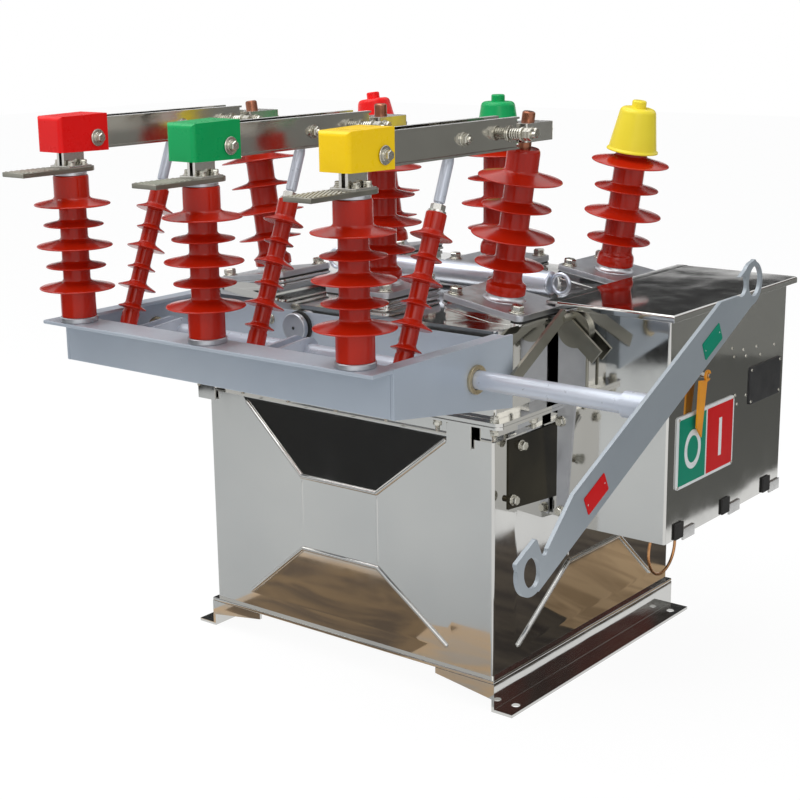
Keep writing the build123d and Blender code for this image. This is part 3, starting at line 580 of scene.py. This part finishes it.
def copy_to(pattern, name, matrix):
    only(pattern)
    bpy.ops.object.duplicate()
    piece = bpy.context.object
    piece.name = name
    piece.matrix_world = matrix
    bpy.ops.object.transform_apply()
    return piece


def gather(pieces, name):
    only(pieces[0])
    for piece in pieces:
        piece.select_set(True)
    if len(pieces) > 1:
        bpy.ops.object.join()
    joined = bpy.context.object
    joined.name = name
    return joined


def set_out(pattern, name, matrices):
    # Copies of one fastener, each on its own seat, kept together as one piece
    return gather([copy_to(pattern, name, matrix) for matrix in matrices], name)


def fasten(pattern, name, seats, body="breaker"):
    # A set of plated bolts, nuts or rivets
    settle(set_out(pattern, name, seats), body, plated_bolts)


def put_away(*patterns):
    for pattern in patterns:
        bpy.data.objects.remove(pattern)


# Fasteners, each standing on its seat at height zero
head_seat, thread_pitch = 3.7, 1.5


def hex_bolt(name, washer, head, height, stud=0.0):
    # Washer, spring washer and hexagon head, with the bolt's end above it if it is a nut
    top = head_seat + height
    flat_rings = [(washer * 0.97, 0), (washer, 0.4), (washer, 1.4), (washer * 0.96, 1.8)]
    spring_rings = [(head * 0.93, 1.7), (head * 0.96, 2.1), (head * 0.96, 3.4), (head * 0.93, 3.8)]
    head_rings = [(head * 0.94, head_seat), (head, 4.4), (head, 3.2 + height * 0.86), (head * 0.86, top)]
    pieces = [
        turn(f"{name}_washer", flat_rings, 32),
        turn(f"{name}_spring", spring_rings, 32),
        turn(f"{name}_head", head_rings, 6),
    ]
    if stud:
        rings = [(head * 0.52, top - 0.5)]
        for turn_of_thread in range(int(stud / thread_pitch)):
            rise = top + thread_pitch * turn_of_thread
            rings += [(head * 0.52, rise + 0.4), (head * 0.46, rise + 1.1)]
        rings.append((head * 0.42, top + stud))
        pieces.append(turn(f"{name}_end", rings, 20))
    return gather(pieces, name)


def dome(name, radius, height):
    rings = [(radius, -0.2), (radius, height * 0.25), (radius * 0.93, height * 0.55)]
    rings += [(radius * 0.75, height * 0.84), (radius * 0.4, height)]
    return turn(name, rings, 20)


large_bolt = hex_bolt("large_bolt", 12.5, 10.2, 8)
middle_bolt = hex_bolt("middle_bolt", 8.6, 7.4, 5.5)
flange_bolt = hex_bolt("flange_bolt", 7.3, 6.8, 5.5)
small_bolt = hex_bolt("small_bolt", 6.4, 5.4, 4)
long_nut = hex_bolt("long_nut", 7.4, 7.2, 6, stud=9)
pin_nut = hex_bolt("pin_nut", 10.5, 8.6, 6, stud=4)
rivet = dome("rivet", 2.6, 1.3)
flat_rivet = dome("flat_rivet", 2.8, 0.8)


# Shed insulators
def shed_rings(core, sheds, foot, head):
    # The body runs straight at radius foot into the first shed and at radius head out of the last
    rings = []
    for number, (height, radius) in enumerate(sheds):
        below = foot if number == 0 else core
        above = head if number == len(sheds) - 1 else core
        rise = 0.26 * (radius - above)
        rings += [
            (below, height - 5),
            (below + 1.2, height - 2.9),
            (below + 3.5, height - 2.1),
            (radius - 2.2, height - 2.0),
            (radius - 0.7, height - 1.6),
            (radius, height - 0.7),
            (radius - 0.5, height + 0.3),
            (radius - 2.0, height + 1.0),
            (above + 0.45 * (radius - above), height + 0.48 * rise + 0.6),
            (above + 4.0, height + rise - 1.2),
            (above + 1.3, height + rise + 0.8),
            (above, height + rise + 3.5),
        ]
    return rings


shed_smooth = 40
lean = math.radians(8.5)
foot_pitch, foot_height = 242, 636
bushing_rows = (("front", -165), ("rear", 165))
bushing_cores = {"front": 23, "rear": 26}
bushing_sheds = {
    "front": ((56, 54), (101, 65), (146, 54), (190, 65)),
    "rear": ((54, 54), (98.5, 65), (142.5, 54), (186, 65)),
}
post_sheds = ((54, 58), (87.5, 46), (119, 58), (151.5, 46), (183, 58))
rod_sheds = ((143, 31), (175, 23), (208, 31), (241, 23), (273, 31), (306, 23))


def pole_axis(side):
    return Vector((math.sin(lean) * side, 0, math.cos(lean * side)))


def bushing_foot(side, row_y):
    return Vector((foot_pitch * side, row_y, foot_height))


def plate_pattern(name, width, depth, low, high, corner, edge, front_too=True):
    # A flat plate with round corners, standing on the axis
    bpy.ops.mesh.primitive_cube_add(
        size=1, location=(0, 0, (low + high) / 2 * mm), scale=(width * mm, depth * mm, (high - low) * mm)
    )
    plate = bpy.context.object
    plate.name = name
    bpy.ops.object.transform_apply()
    choose(plate, "EDGE", lambda a, b: abs(a.z - b.z) > 0.9 * (high - low) * mm and (front_too or a.y > 0))
    bpy.ops.mesh.bevel(offset=corner * mm, segments=6, affect="EDGES")
    choose(plate, "FACE", lambda centre, normal: abs(normal.z) > 0.9)
    bpy.ops.mesh.bevel(offset=edge * mm, segments=2, affect="EDGES")
    bpy.ops.object.mode_set(mode="OBJECT")
    return plate


def bushing_form(row):
    # A foot bulge, four sheds on the core and a plain head
    core = bushing_cores[row]
    head = max(core, 25.5)
    rings = [(29.5, 8.5), (31, 9.6), (31.4, 13), (31.4, 20), (30.6, 24)]
    rings += [(core + 3.6, 27.0), (core + 2.2, 28.8), (core + 0.8, 31.0), (core, 35)]
    rings += shed_rings(core, bushing_sheds[row], core, head)
    rings += [(head, 229), (head - 0.7, 233), (head - 3, 236)]
    return turn(f"bushing_form_{row}", rings)


bushing_patterns = {row: bushing_form(row) for row, row_y in bushing_rows}
bushing_base_pattern = gather(
    [
        plate_pattern("bushing_plate", 134, 150, -10, 0, 12, 1.4),
        turn("bushing_boss", [(34.5, -0.5), (34.0, 0.8), (31.5, 2.0), (29.4, 4.2), (28.4, 7.0), (28.4, 8.9)]),
    ],
    "bushing_base_pattern",
)
bushing_gasket_pattern = plate_pattern("bushing_gasket_pattern", 131, 147, -13.5, -9.5, 12, 0.8)
bushing_collar_pattern = gather(
    [
        plate_pattern("upper_collar", 134, 150, -17.5, -13.2, 12, 0.8),
        plate_pattern("lower_collar", 130, 146, -24.5, -20.5, 12, 0.8),
    ],
    "bushing_collar_pattern",
)
bushing_stem_patterns = {
    "front": turn("bushing_stem_front", [(10, 232), (10, 287.5), (9.6, 289.5), (7.6, 291)], sides=40),
    "rear": turn("bushing_stem_rear", [(10, 232), (10, 272), (9.2, 274)], sides=40),
}
bushing_bolt_spots = [(x, y) for x in (-51, 51) for y in (-58, 58)]
bolt_clearance = 13
lid_lip_start = 297
lid_front = -132
for row, row_y in bushing_rows:
    for phase, side in phases:
        seat = seat_at(bushing_foot(side, row_y), pole_axis(side))
        shed_body = copy_to(bushing_patterns[row], f"bushing_sheds_{row}_{phase}", seat)
        settle(shed_body, "breaker", silicone, shed_smooth)
        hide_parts(f"bushing_{row}_{phase}")
        base = copy_to(bushing_base_pattern, f"bushing_base_{row}_{phase}", seat)
        settle(base, "breaker", cast_aluminium)
        gasket = copy_to(bushing_gasket_pattern, f"bushing_gasket_{row}_{phase}", seat)
        settle(gasket, "breaker", black_rubber)
        collar = copy_to(bushing_collar_pattern, f"bushing_collar_{row}_{phase}", seat)
        settle(collar, "breaker", bright_steel)
        stem = copy_to(bushing_stem_patterns[row], f"bushing_stem_{row}_{phase}", seat)
        settle(stem, "breaker", copper_rod)
        spots = [seat @ seat_at((x, y, 0), up, 9 * x + y) for x, y in bushing_bolt_spots]
        # No bolt where the lid's lip lies over the plate
        clear = [
            spot
            for spot in spots
            if spot.translation.x < (lid_lip_start - bolt_clearance) * mm
            or spot.translation.y < (lid_front - bolt_clearance) * mm
        ]
        fasten(large_bolt, f"bushing_bolts_{row}_{phase}", clear)
put_away(*bushing_patterns.values(), *bushing_stem_patterns.values())
put_away(bushing_base_pattern, bushing_gasket_pattern, bushing_collar_pattern)

# Posts. Each pair below is a place along y and z that the three poles share
post_spot = (-574, 608)
hinge_pin, rod_pin, crank_pin = (-235, 896), (-350, 896), (-485, 558)
post_rings = [(26, 8), (27, 8.6)]
post_rings += shed_rings(21, post_sheds, 27, 27)
post_rings += [(27, 224), (26.3, 226.4), (24, 227)]
post_pattern = turn("post_pattern", post_rings)
post_ends = [
    turn("post_foot", [(28.2, 0), (29, 0.8), (29, 7.2), (28.2, 8.2), (26, 8.4)]),
    turn("post_cap", [(24, 226.5), (25, 227.4), (25, 231.4), (24.6, 232)]),
]
post_ends_pattern = gather(post_ends, "post_ends_pattern")
for phase, side in phases:
    seat = seat_at((phase_pitch * side, *post_spot), up)
    shed_body = copy_to(post_pattern, f"post_sheds_{phase}", seat)
    settle(shed_body, "breaker", silicone, shed_smooth)
    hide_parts(f"post_{phase}")
    settle(copy_to(post_ends_pattern, f"post_ends_{phase}", seat), "breaker", cast_aluminium)
put_away(post_pattern, post_ends_pattern)

# Rods: measured from the pin in the blade down to the pin in the crank
rod_drop = Vector((0, crank_pin[0] - rod_pin[0], crank_pin[1] - rod_pin[1]))
rod_reach = rod_drop.length
rod_neck, rod_core = 15.2, 13
rod_rings = [(13.8, 108), (14.8, 108.6), (rod_neck, 110)]
for number, (height, radius) in enumerate(rod_sheds):
    above = rod_neck if number == 0 else rod_core
    rise = 0.48 * (radius - above)
    rod_rings += [
        (above, height - rise - 3),
        (above + 0.8, height - rise - 0.8),
        (above + 2.4, height - rise + 1.0),
        (radius - 1.6, height - 0.9),
        (radius - 0.3, height - 0.1),
        (radius, height + 0.6),
        (radius - 0.6, height + 1.5),
        (radius - 2.0, height + 1.9),
        (15, height + 2.0),
        (13.6, height + 2.7),
        (rod_core, height + 4.2),
    ]
rod_rings += [(rod_core, 313), (14, 315), (14, 336), (13.2, 338)]
rod_pattern = turn("rod_pattern", rod_rings, sides=48)


def eye_pattern(name, place):
    # The eye across the rod, and the upright form that it was turned from
    eye = turn(name, [(10.6, -5), (11.6, -4.2), (11.6, 4.2), (10.6, 5)], 36)
    return copy_to(eye, f"{name}_turned", seat_at(place, rightward)), eye


upper_eye, upper_eye_start = eye_pattern("upper_eye", (0, 0, 0))
lower_eye, lower_eye_start = eye_pattern("lower_eye", (0, 0, rod_reach))
rod_fittings = [
    upper_eye,
    lower_eye,
    turn("rod_nut", [(10.2, 96), (11, 96.8), (11, 104.2), (10.2, 105)], 6),
    turn("rod_washer", [(13, 105), (13.4, 105.4), (13.4, 107.6), (13, 108.2)], 32),
    turn("rod_foot", [(9.5, 337), (10, 338), (10, 343), (9.2, 344), (6, 344.5), (6, rod_reach - 8)], 32),
]
shank_rings = [(5.2, 8), (5.6, 16), (7.4, 28), (8.4, 34), (8.4, 91), (7.8, 93), (6, 94), (6, 109)]
rod_shank_pattern = turn("rod_shank_pattern", shank_rings, 32)
rod_fittings_pattern = gather(rod_fittings, "rod_fittings_pattern")
for phase, side in phases:
    seat = seat_at((phase_pitch * side, *rod_pin), rod_drop)
    shed_body = copy_to(rod_pattern, f"rod_sheds_{phase}", seat)
    settle(shed_body, "rods", silicone, shed_smooth)
    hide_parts(f"operating_insulator_{phase}")
    settle(copy_to(rod_fittings_pattern, f"rod_fittings_{phase}", seat), "rods", tinned_metal)
    settle(copy_to(rod_shank_pattern, f"rod_shank_{phase}", seat), "rods", shaft_paint)
put_away(rod_pattern, rod_fittings_pattern, rod_shank_pattern, upper_eye_start, lower_eye_start)

# Tank: four pressed walls on a shell with round corners, and half-round beads along the creases
tank_half, tank_corner = (300, 278), 5
shoulder_half = (292, 270)
wall_low, wall_high, shoulder_high = 53, 436, 463
press_outer, press_inner = (432, 350), (160, 127)
press_height, press_depth = 257, 12
first_inset, second_inset = 10, 40
crease_round, corner_slack = 3.5, 0.5
walls = (
    (Vector((0, -tank_half[1], press_height)), rightward, ahead),
    (Vector((0, tank_half[1], press_height)), leftward, behind),
    (Vector((-tank_half[0], 0, press_height)), ahead, leftward),
    (Vector((tank_half[0], 0, press_height)), behind, rightward),
)


def press_wall(shell, origin, across, outward):
    # Set the wall back into two rectangles and push the inner one out
    origin = origin * mm
    half_height = (wall_high - wall_low) / 2
    half_width = (tank_half[0] if across.x else tank_half[1]) - tank_corner

    def scale_to(width, height, now_width, now_height, centre):
        wide = width / now_width
        value = (wide, 1, height / now_height) if across.x else (1, wide, height / now_height)
        bpy.ops.transform.resize(value=value, center_override=centre)

    def on_wall(centre, normal):
        return normal.dot(outward) > 0.99 and (centre - origin).dot(outward) > -0.001

    choose(shell, "FACE", on_wall)
    bpy.ops.mesh.inset(thickness=first_inset * mm)
    middle = Vector((origin.x, origin.y, (wall_low + wall_high) / 2 * mm))
    scale_to(*press_outer, 2 * half_width - 2 * first_inset, 2 * half_height - 2 * first_inset, middle)
    bpy.ops.transform.translate(value=(0, 0, (press_height - (wall_low + wall_high) / 2) * mm))
    bpy.ops.mesh.inset(thickness=second_inset * mm)
    inset_size = [side - 2 * second_inset for side in press_outer]
    scale_to(*press_inner, *inset_size, origin)
    bpy.ops.transform.translate(value=outward * press_depth * mm)
    bpy.ops.object.mode_set(mode="OBJECT")


def on_press(co):
    # True for the corner points of the pressed rectangles
    for origin, across, outward in walls:
        away = co / mm - origin
        depth = away.dot(outward)
        spot = (abs(away.dot(across)), abs(away.z))
        for size, rise in ((press_outer, 0), (press_inner, press_depth)):
            away_from_corner = (depth - rise, spot[0] - size[0] / 2, spot[1] - size[1] / 2)
            if all(abs(offset) < corner_slack for offset in away_from_corner):
                return True
    return False


bpy.ops.mesh.primitive_cube_add(
    size=1,
    location=(0, 0, (wall_low + wall_high) / 2 * mm),
    scale=(2 * tank_half[0] * mm, 2 * tank_half[1] * mm, (wall_high - wall_low) * mm),
)
tank_shell = bpy.context.object
bpy.ops.object.transform_apply()
choose(tank_shell, "EDGE", lambda a, b: abs(a.z - b.z) > 0.1)
bpy.ops.mesh.bevel(offset=tank_corner * mm, segments=5, affect="EDGES")
bpy.ops.object.mode_set(mode="OBJECT")
for origin, across, outward in walls:
    press_wall(tank_shell, origin, across, outward)
choose(tank_shell, "EDGE", lambda a, b: on_press(a) and on_press(b))
bpy.ops.mesh.bevel(offset=crease_round * mm, segments=3, affect="EDGES")
bpy.ops.object.mode_set(mode="OBJECT")
shoulder_low = (-shoulder_half[0], -shoulder_half[1], wall_high - 2)
shoulder = block("shoulder", shoulder_low, (*shoulder_half, shoulder_high), 1.5)
tank_skin = gather([tank_shell, shoulder], "tank_skin")
settle(tank_skin, "breaker", polished_steel)
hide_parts("tank")

bead_wire, ridge_set_back = 4, 1.5


def bead_pattern(name, reach):
    start = [(0.6, -bead_wire), (2.2, -3.4), (3.4, -2.1), (bead_wire, 0)]
    end = [(bead_wire, reach), (3.4, reach + 2.1), (2.2, reach + 3.4), (0.6, reach + bead_wire)]
    return turn(name, start + end, 20)


def press_corner(wall, wide, high):
    # A corner of the wall's inner rectangle
    origin, across, outward = wall
    aside = across * (wide * press_inner[0] / 2) + up * (high * press_inner[1] / 2)
    return origin + aside + outward * press_depth


crease = Vector(((press_outer[0] - press_inner[0]) / 2, (press_outer[1] - press_inner[1]) / 2, -press_depth))
level_bead = bead_pattern("level_bead", press_inner[0])
slant_bead = bead_pattern("slant_bead", 0.95 * crease.length)
beads = []
for wall in walls:
    origin, across, outward = wall
    for high in (-1, 1):
        beads.append(copy_to(level_bead, "bead", seat_at(press_corner(wall, -1, high), across)))
        for wide in (-1, 1):
            run = across * (wide * crease.x) + up * (high * crease.y) + outward * crease.z
            beads.append(copy_to(slant_bead, "bead", seat_at(press_corner(wall, wide, high), run)))
ridge_rings = [(0.6, 4), (2.4, 12), (2.4, press_inner[1] - 12), (0.6, press_inner[1] - 4)]
fold_ridge = turn("fold_ridge", ridge_rings, 20)
for wall in walls:
    origin, across, outward = wall
    for wide in (-1, 1):
        foot = press_corner(wall, wide, -1) - outward * ridge_set_back
        beads.append(copy_to(fold_ridge, "bead", seat_at(foot, up)))
settle(gather(beads, "tank_beads"), "breaker", polished_steel)
put_away(level_bead, slant_bead, fold_ridge)

# Polished sheet that keeps the shape of its solid, with the ease of its edges
skins = (("tank_flange", 0.8), ("tank_cover", 1.2), ("mechanism_box", 1.2), ("mechanism_lid", 0.7))
skins += (("base_plate", 1.5), ("base_rail_left", 1.0), ("base_rail_right", 1.0))
for node, edge in skins:
    dress(node, f"{node}_skin", polished_steel, edge)
lid_low, lid_high = [Vector(corner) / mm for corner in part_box("mechanism_lid")]
lip_wall, lip_overlap = 4.6, 3
lip_low = (lid_lip_start, lid_low.y, lid_high.z - lip_wall)
lid_lip = block("lid_lip", lip_low, (lid_low.x + lip_overlap, lid_high.y, lid_high.z), 0.7)
settle(lid_lip, "breaker", polished_steel)
# The side plate's dark colour is a painted reflection
side_skin = dress("side_plate", "side_plate_skin", dark_reflection_steel, 0.5)
# Kept out of the mirror images in the steel beside it
side_skin.visible_glossy = False
dress("interlock", "interlock_linkage", dull_steel, 0.5)

# Flange bolts: heads on the cover's flange, nuts and bolt ends under the tank's, each turned by its place
flange_top, flange_under = 474, 463
front_and_back = [(x, y) for y in (-291.5, 291.5) for x in (-311, -207, -104, 0, 104, 205, 311)]
both_ends = [(x, y) for x in (-317.5, 317.5) for y in (-195, -98, 0, 98, 195)]
head_seats = [seat_at((x, y, flange_top), up, 13 * x + y) for x, y in front_and_back]
nut_seats = [seat_at((x, y, flange_under), down, 7 * x + y) for x, y in front_and_back + both_ends]
fasten(flange_bolt, "flange_bolts", head_seats)
fasten(long_nut, "flange_nuts", nut_seats)

# Disconnector frame, shaft and handle
for node in ("frame_arm_left", "frame_arm_right", "frame_front_beam", "frame_rear_beam"):
    dress(node, f"{node}_painted", frame_paint, 1.6)
dress("operating_shaft", "operating_shaft_painted", shaft_paint, 0.8)
for arm in ("left", "right"):
    dress(f"shaft_bearing_{arm}", f"bearing_ring_{arm}", brass_ring, 0.8)
beam_face = -288
beam_seats = [
    seat_at((x, beam_face, z), ahead, 5 * x) for x in (-300, -140, 140, 300) for z in (520, 580)
]
fasten(middle_bolt, "rear_beam_bolts", beam_seats)
crank_seats = [
    seat_at((phase_pitch * side + x, *crank_pin), rightward * x)
    for phase, side in phases
    for x in (-16, 16)
]
fasten(pin_nut, "crank_pin_nuts", crank_seats, "shaft")

handle_turn = math.radians(25.8)
handle_along = Vector((0, math.cos(handle_turn), math.sin(handle_turn)))
handle_across = Vector((0, -math.sin(handle_turn), math.cos(handle_turn)))
handle_face = 628.2
shaft_end = Vector((handle_face, -370, 558))
# Centre, two directions and the half sizes along them
handle_holes = (
    (shaft_end - handle_along * 329 + handle_across * 1.8, handle_along, handle_across, (16.5, 21)),
    (Vector((handle_face, -94.5, 690)), behind, up, (18.7, 22)),
)


def open_holes(bar):
    # The holes in the hook and the eye are longer one way than the other
    plug = turn("hole_plug", [(1, -20), (1, 20)], 64)
    for spot, along, across, half in handle_holes:
        wide = Matrix.Diagonal((half[0], half[1], 1, 1))
        square = Matrix((along, across, rightward)).transposed().to_4x4()
        cutter = copy_to(plug, "hole_cutter", Matrix.Translation(spot * mm) @ square @ wide)
        only(bar)
        cut = bar.modifiers.new("handle_hole", "BOOLEAN")
        cut.operation = "DIFFERENCE"
        cut.solver = "EXACT"
        cut.object = cutter
        bpy.ops.object.modifier_apply(modifier=cut.name)
        put_away(cutter)
    put_away(plug)


dress("handle", "handle_bar", handle_paint, 0.9, reshape=open_holes)
for colour, along, across, finish in (("green", 163, -6, green_enamel), ("red", -171.5, -4, red_enamel)):
    dress(f"handle_plate_{colour}", f"handle_sheet_{colour}", finish, 0.3)
    spots = [shaft_end + handle_along * (along + step) + handle_across * across for step in (-22, 22)]
    rivets = set_out(flat_rivet, f"handle_rivets_{colour}", [seat_at(spot, rightward) for spot in spots])
    settle(rivets, "shaft", white_enamel)

# Blades, hoods, terminals, jaws and clamps
blade_side, hood_side, clamp_side = 18, 30, 23
hood_spot, clamp_spot, clamp_end = (-542, 890), (-183, 894), (-126, 894)
terminal_top, terminal_middle, knurl_front, jaw_middle = 847, -609.5, -679, -572
jaw_foot_top, over_washer = 850, 1.06
knurl_pitch, knurl_row_pitch, knurl_shift = 6, 5, 3
coil_heights = (4.6, 8.6, 12.6, 16.6, 20.4)


def on_terminal(x, y):
    return Matrix.Translation(Vector((x, y, terminal_top)) * mm)


knurl_bump = block("knurl_bump", (-2.3, -1.7, -0.6), (2.3, 1.7, 0.9), 0.6, 1)
knurl_steps = [Matrix.Translation((knurl_pitch * step * mm, 0, 0)) for step in range(-3, 4)]
knurl_row = set_out(knurl_bump, "knurl_row", knurl_steps)
terminal_bar = plate_pattern("terminal_bar", 48, 147, -7, 0, 20, 0.8, front_too=False)
jaw_pattern = gather(
    [block("jaw_foot", (-22, -22, -0.5), (22, 22, 3), 0.6)]
    + [block("jaw_sheet", (x, -20, 2), (x + 5, 20, 58), 0.6) for x in (-8, 3)],
    "jaw_pattern",
)
coil_pattern = ring("coil_pattern", 7.2, 1.5, 28, 8)
wide_washer = turn("wide_washer", [(12.6, -0.2), (13, 0.4), (13, 1.6), (12.4, 2.2)], 40)
hinge_stack = gather(
    [
        turn("stack_bolt", [(4.6, -1), (4.6, 44), (3.8, 45.5)], 20),
        turn("stack_washer", [(11.6, 0), (12, 0.5), (12, 2.2), (11.6, 2.7)], 36),
        turn("stack_cup", [(10.4, 22), (10.8, 22.4), (10.8, 24.6), (10.4, 25)], 36),
        turn("stack_nut", [(8.4, 25), (9.2, 25.7), (9.2, 31.6), (8.2, 32.4)], 6),
        turn("stack_lock", [(8.4, 32.6), (9.2, 33.2), (9.2, 38), (8.2, 38.8)], 6),
    ]
    + [copy_to(coil_pattern, "coil", Matrix.Translation((0, 0, height * mm))) for height in coil_heights],
    "hinge_stack",
)
for phase, side in phases:
    pole = phase_pitch * side
    dress(f"blade_{phase}", f"blade_bars_{phase}", polished_bar, 1.3)
    dress(f"blade_cover_{phase}", f"blade_hood_{phase}", plastics[phase], 0.8)
    terminal = copy_to(terminal_bar, f"terminal_{phase}", on_terminal(pole, terminal_middle))
    settle(terminal, "breaker", dull_steel)
    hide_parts(f"fixed_contact_{phase}")
    jaw = copy_to(jaw_pattern, f"terminal_jaw_{phase}", on_terminal(pole, jaw_middle))
    settle(jaw, "breaker", tinned_metal)
    dress(f"hinge_clamp_{phase}", f"clamp_{phase}", tinned_metal, 0.7)
    dress(f"terminal_cap_{phase}", f"cap_hood_{phase}", cap_plastics[phase], 0.8)
    rows = [
        on_terminal(pole + knurl_shift * (step % 2) - 1.5, knurl_front + knurl_row_pitch * step)
        for step in range(16)
    ]
    settle(set_out(knurl_row, f"terminal_knurl_{phase}", rows), "breaker", dull_steel)
    stacks = [copy_to(hinge_stack, "stack", seat_at((pole + blade_side, *hinge_pin), rightward))]
    stacks.append(copy_to(middle_bolt, "stack_head", seat_at((pole - blade_side, *hinge_pin), leftward)))
    for x in (-blade_side, blade_side):
        stacks.append(copy_to(pin_nut, "pin", seat_at((pole + x, *rod_pin), rightward * x)))
    for x in (-hood_side, hood_side):
        washer_seat = seat_at((pole + x, *hood_spot), rightward * x)
        bolt_seat = seat_at((pole + x * over_washer, *hood_spot), rightward * x)
        stacks.append(copy_to(wide_washer, "hood_washer", washer_seat))
        stacks.append(copy_to(middle_bolt, "hood_bolt", bolt_seat))
    settle(gather(stacks, f"blade_bolts_{phase}"), "blades", plated_bolts)
    fixings = [
        copy_to(small_bolt, "contact_bolt", seat_at((pole + x, y, jaw_foot_top), up, 40 + y))
        for x in (-15, 15)
        for y in (-584, -560)
    ]
    for x in (-clamp_side, clamp_side):
        clamp_seat = seat_at((pole + x, *clamp_spot), rightward * x, 10)
        fixings.append(copy_to(middle_bolt, "clamp_bolt", clamp_seat))
    fixings.append(copy_to(small_bolt, "clamp_end_bolt", seat_at((pole + 13, *clamp_end), behind, 10)))
    settle(gather(fixings, f"contact_bolts_{phase}"), "breaker", plated_bolts)
put_away(knurl_bump, knurl_row, terminal_bar, jaw_pattern, coil_pattern, wide_washer, hinge_stack)

# Mechanism box: latches, plates, pointer and sign, and the tank's lifting bar and vent
door_face, sign_face = 510, 512.5
for spot, y in (("front", -81), ("middle", 75), ("rear", 223)):
    catch = block(f"latch_catch_{spot}", (door_face, y - 13, 273), (door_face + 4, y + 13, 299), 1.2)
    settle(catch, "breaker", black_rubber)
    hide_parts(f"box_latch_{spot}")
    plate = block(f"latch_plate_{spot}", (door_face, y + 13, 267), (door_face + 3, y + 51, 285), 0.6)
    settle(plate, "breaker", bright_steel)
dress("lifting_bar", "lifting_bar_tube", satin_tube, 0.8)
dress("vent_cap", "vent_disc", cast_aluminium, 1.5)
vent_gasket = turn("vent_gasket", [(25.5, 0), (26, 0.6), (26, 3.4), (25.5, 4)], 48)
for pattern, name, face in ((vent_gasket, "vent_seal", -288), (rivet, "vent_dot", -306)):
    settle(copy_to(pattern, name, seat_at((-75, face, 575), ahead)), "breaker", black_rubber)
put_away(vent_gasket)
dress("pull_ring", "pull_ring_wire", copper_wire, 0.5)
dress("sign_plate", "sign_border", white_enamel, 0.5)
dress("name_plate", "name_plate_blank", dark_plate, 0.5)
dress("position_pointer", "pointer_hand", pointer_paint, 0.4)

sign_back, half_front, half_low, half_high = door_face + 2, sign_face + 0.6, 358, 463
green_half = block("sign_green", (sign_back, -90, half_low), (half_front, -4, half_high), 0.25)
settle(green_half, "breaker", green_enamel)
red_half = block("sign_red", (sign_back, 1, half_low), (half_front, 87, half_high), 0.25)
settle(red_half, "breaker", red_enamel)
open_mark = turn("open_mark", [(26, 0), (26, 0.5), (25.7, 0.8), (18.3, 0.8), (18, 0.5), (18, 0)], 64)
open_mark.scale = (1, 1.2, 1)
only(open_mark)
bpy.ops.object.transform_apply()
open_seat = seat_at((sign_face + 0.5, -47, 410), rightward)
settle(copy_to(open_mark, "sign_open_mark", open_seat), "breaker", white_enamel)
closed_mark = block("sign_closed_mark", (sign_face + 0.4, 39.5, 379), (sign_face + 1.3, 48.5, 441), 0.3)
settle(closed_mark, "breaker", white_enamel)
put_away(open_mark)
sign_rivets = [seat_at((sign_face, y, z), rightward) for y in (-91, 88) for z in (357, 464)]
fasten(rivet, "sign_rivets", sign_rivets)
screw_spots = [(82, 545), (90, 530), (122, 536), (132, 524), (169, 533), (185, 517), (236, 525)]
screw_spots += [(99, 465), (137, 458), (106, 449)]
fasten(rivet, "door_screws", [seat_at((door_face, y, z), rightward) for y, z in screw_spots])
plate_screws = [seat_at((sign_face, y, z), rightward) for y in (151, 255) for z in (444, 497)]
fasten(rivet, "name_plate_screws", plate_screws)

# Bracket behind the linkage: an upper plate on a leg that narrows towards its foot
bracket_front, bracket_back, bracket_left = -125, -122, 316
leg_low, leg_high, leg_right, leg_foot_right = 284, 502, 350, 333
bracket_leg = block(
    "bracket_leg", (bracket_left, bracket_front, leg_low), (leg_right, bracket_back, leg_high), 0.6
)
choose(bracket_leg, "FACE", lambda centre, normal: True)
bpy.ops.mesh.bisect(
    plane_co=Vector((leg_foot_right, bracket_front, leg_low)) * mm,
    plane_no=Vector((leg_high - leg_low, 0, leg_foot_right - leg_right)).normalized(),
    use_fill=True,
    clear_outer=True,
)
bpy.ops.object.mode_set(mode="OBJECT")
bracket_plate = block(
    "bracket_plate", (bracket_left, bracket_front, leg_high - 1), (366, bracket_back, 612), 0.6
)
settle(gather([bracket_leg, bracket_plate], "linkage_bracket"), "breaker", cast_aluminium)
neck_bolts = [seat_at((324, bracket_front, z), ahead, 9 * z) for z in (442, 294)]
neck_bolts += [seat_at((317, y, z), rightward, y) for y, z in ((-228, 425), (-250, 343))]
fasten(middle_bolt, "mechanism_bolts", neck_bolts)
put_away(large_bolt, middle_bolt, flange_bolt, small_bolt, long_nut, pin_nut, rivet, flat_rivet)

bpy.context.scene.view_settings.view_transform = "Standard"
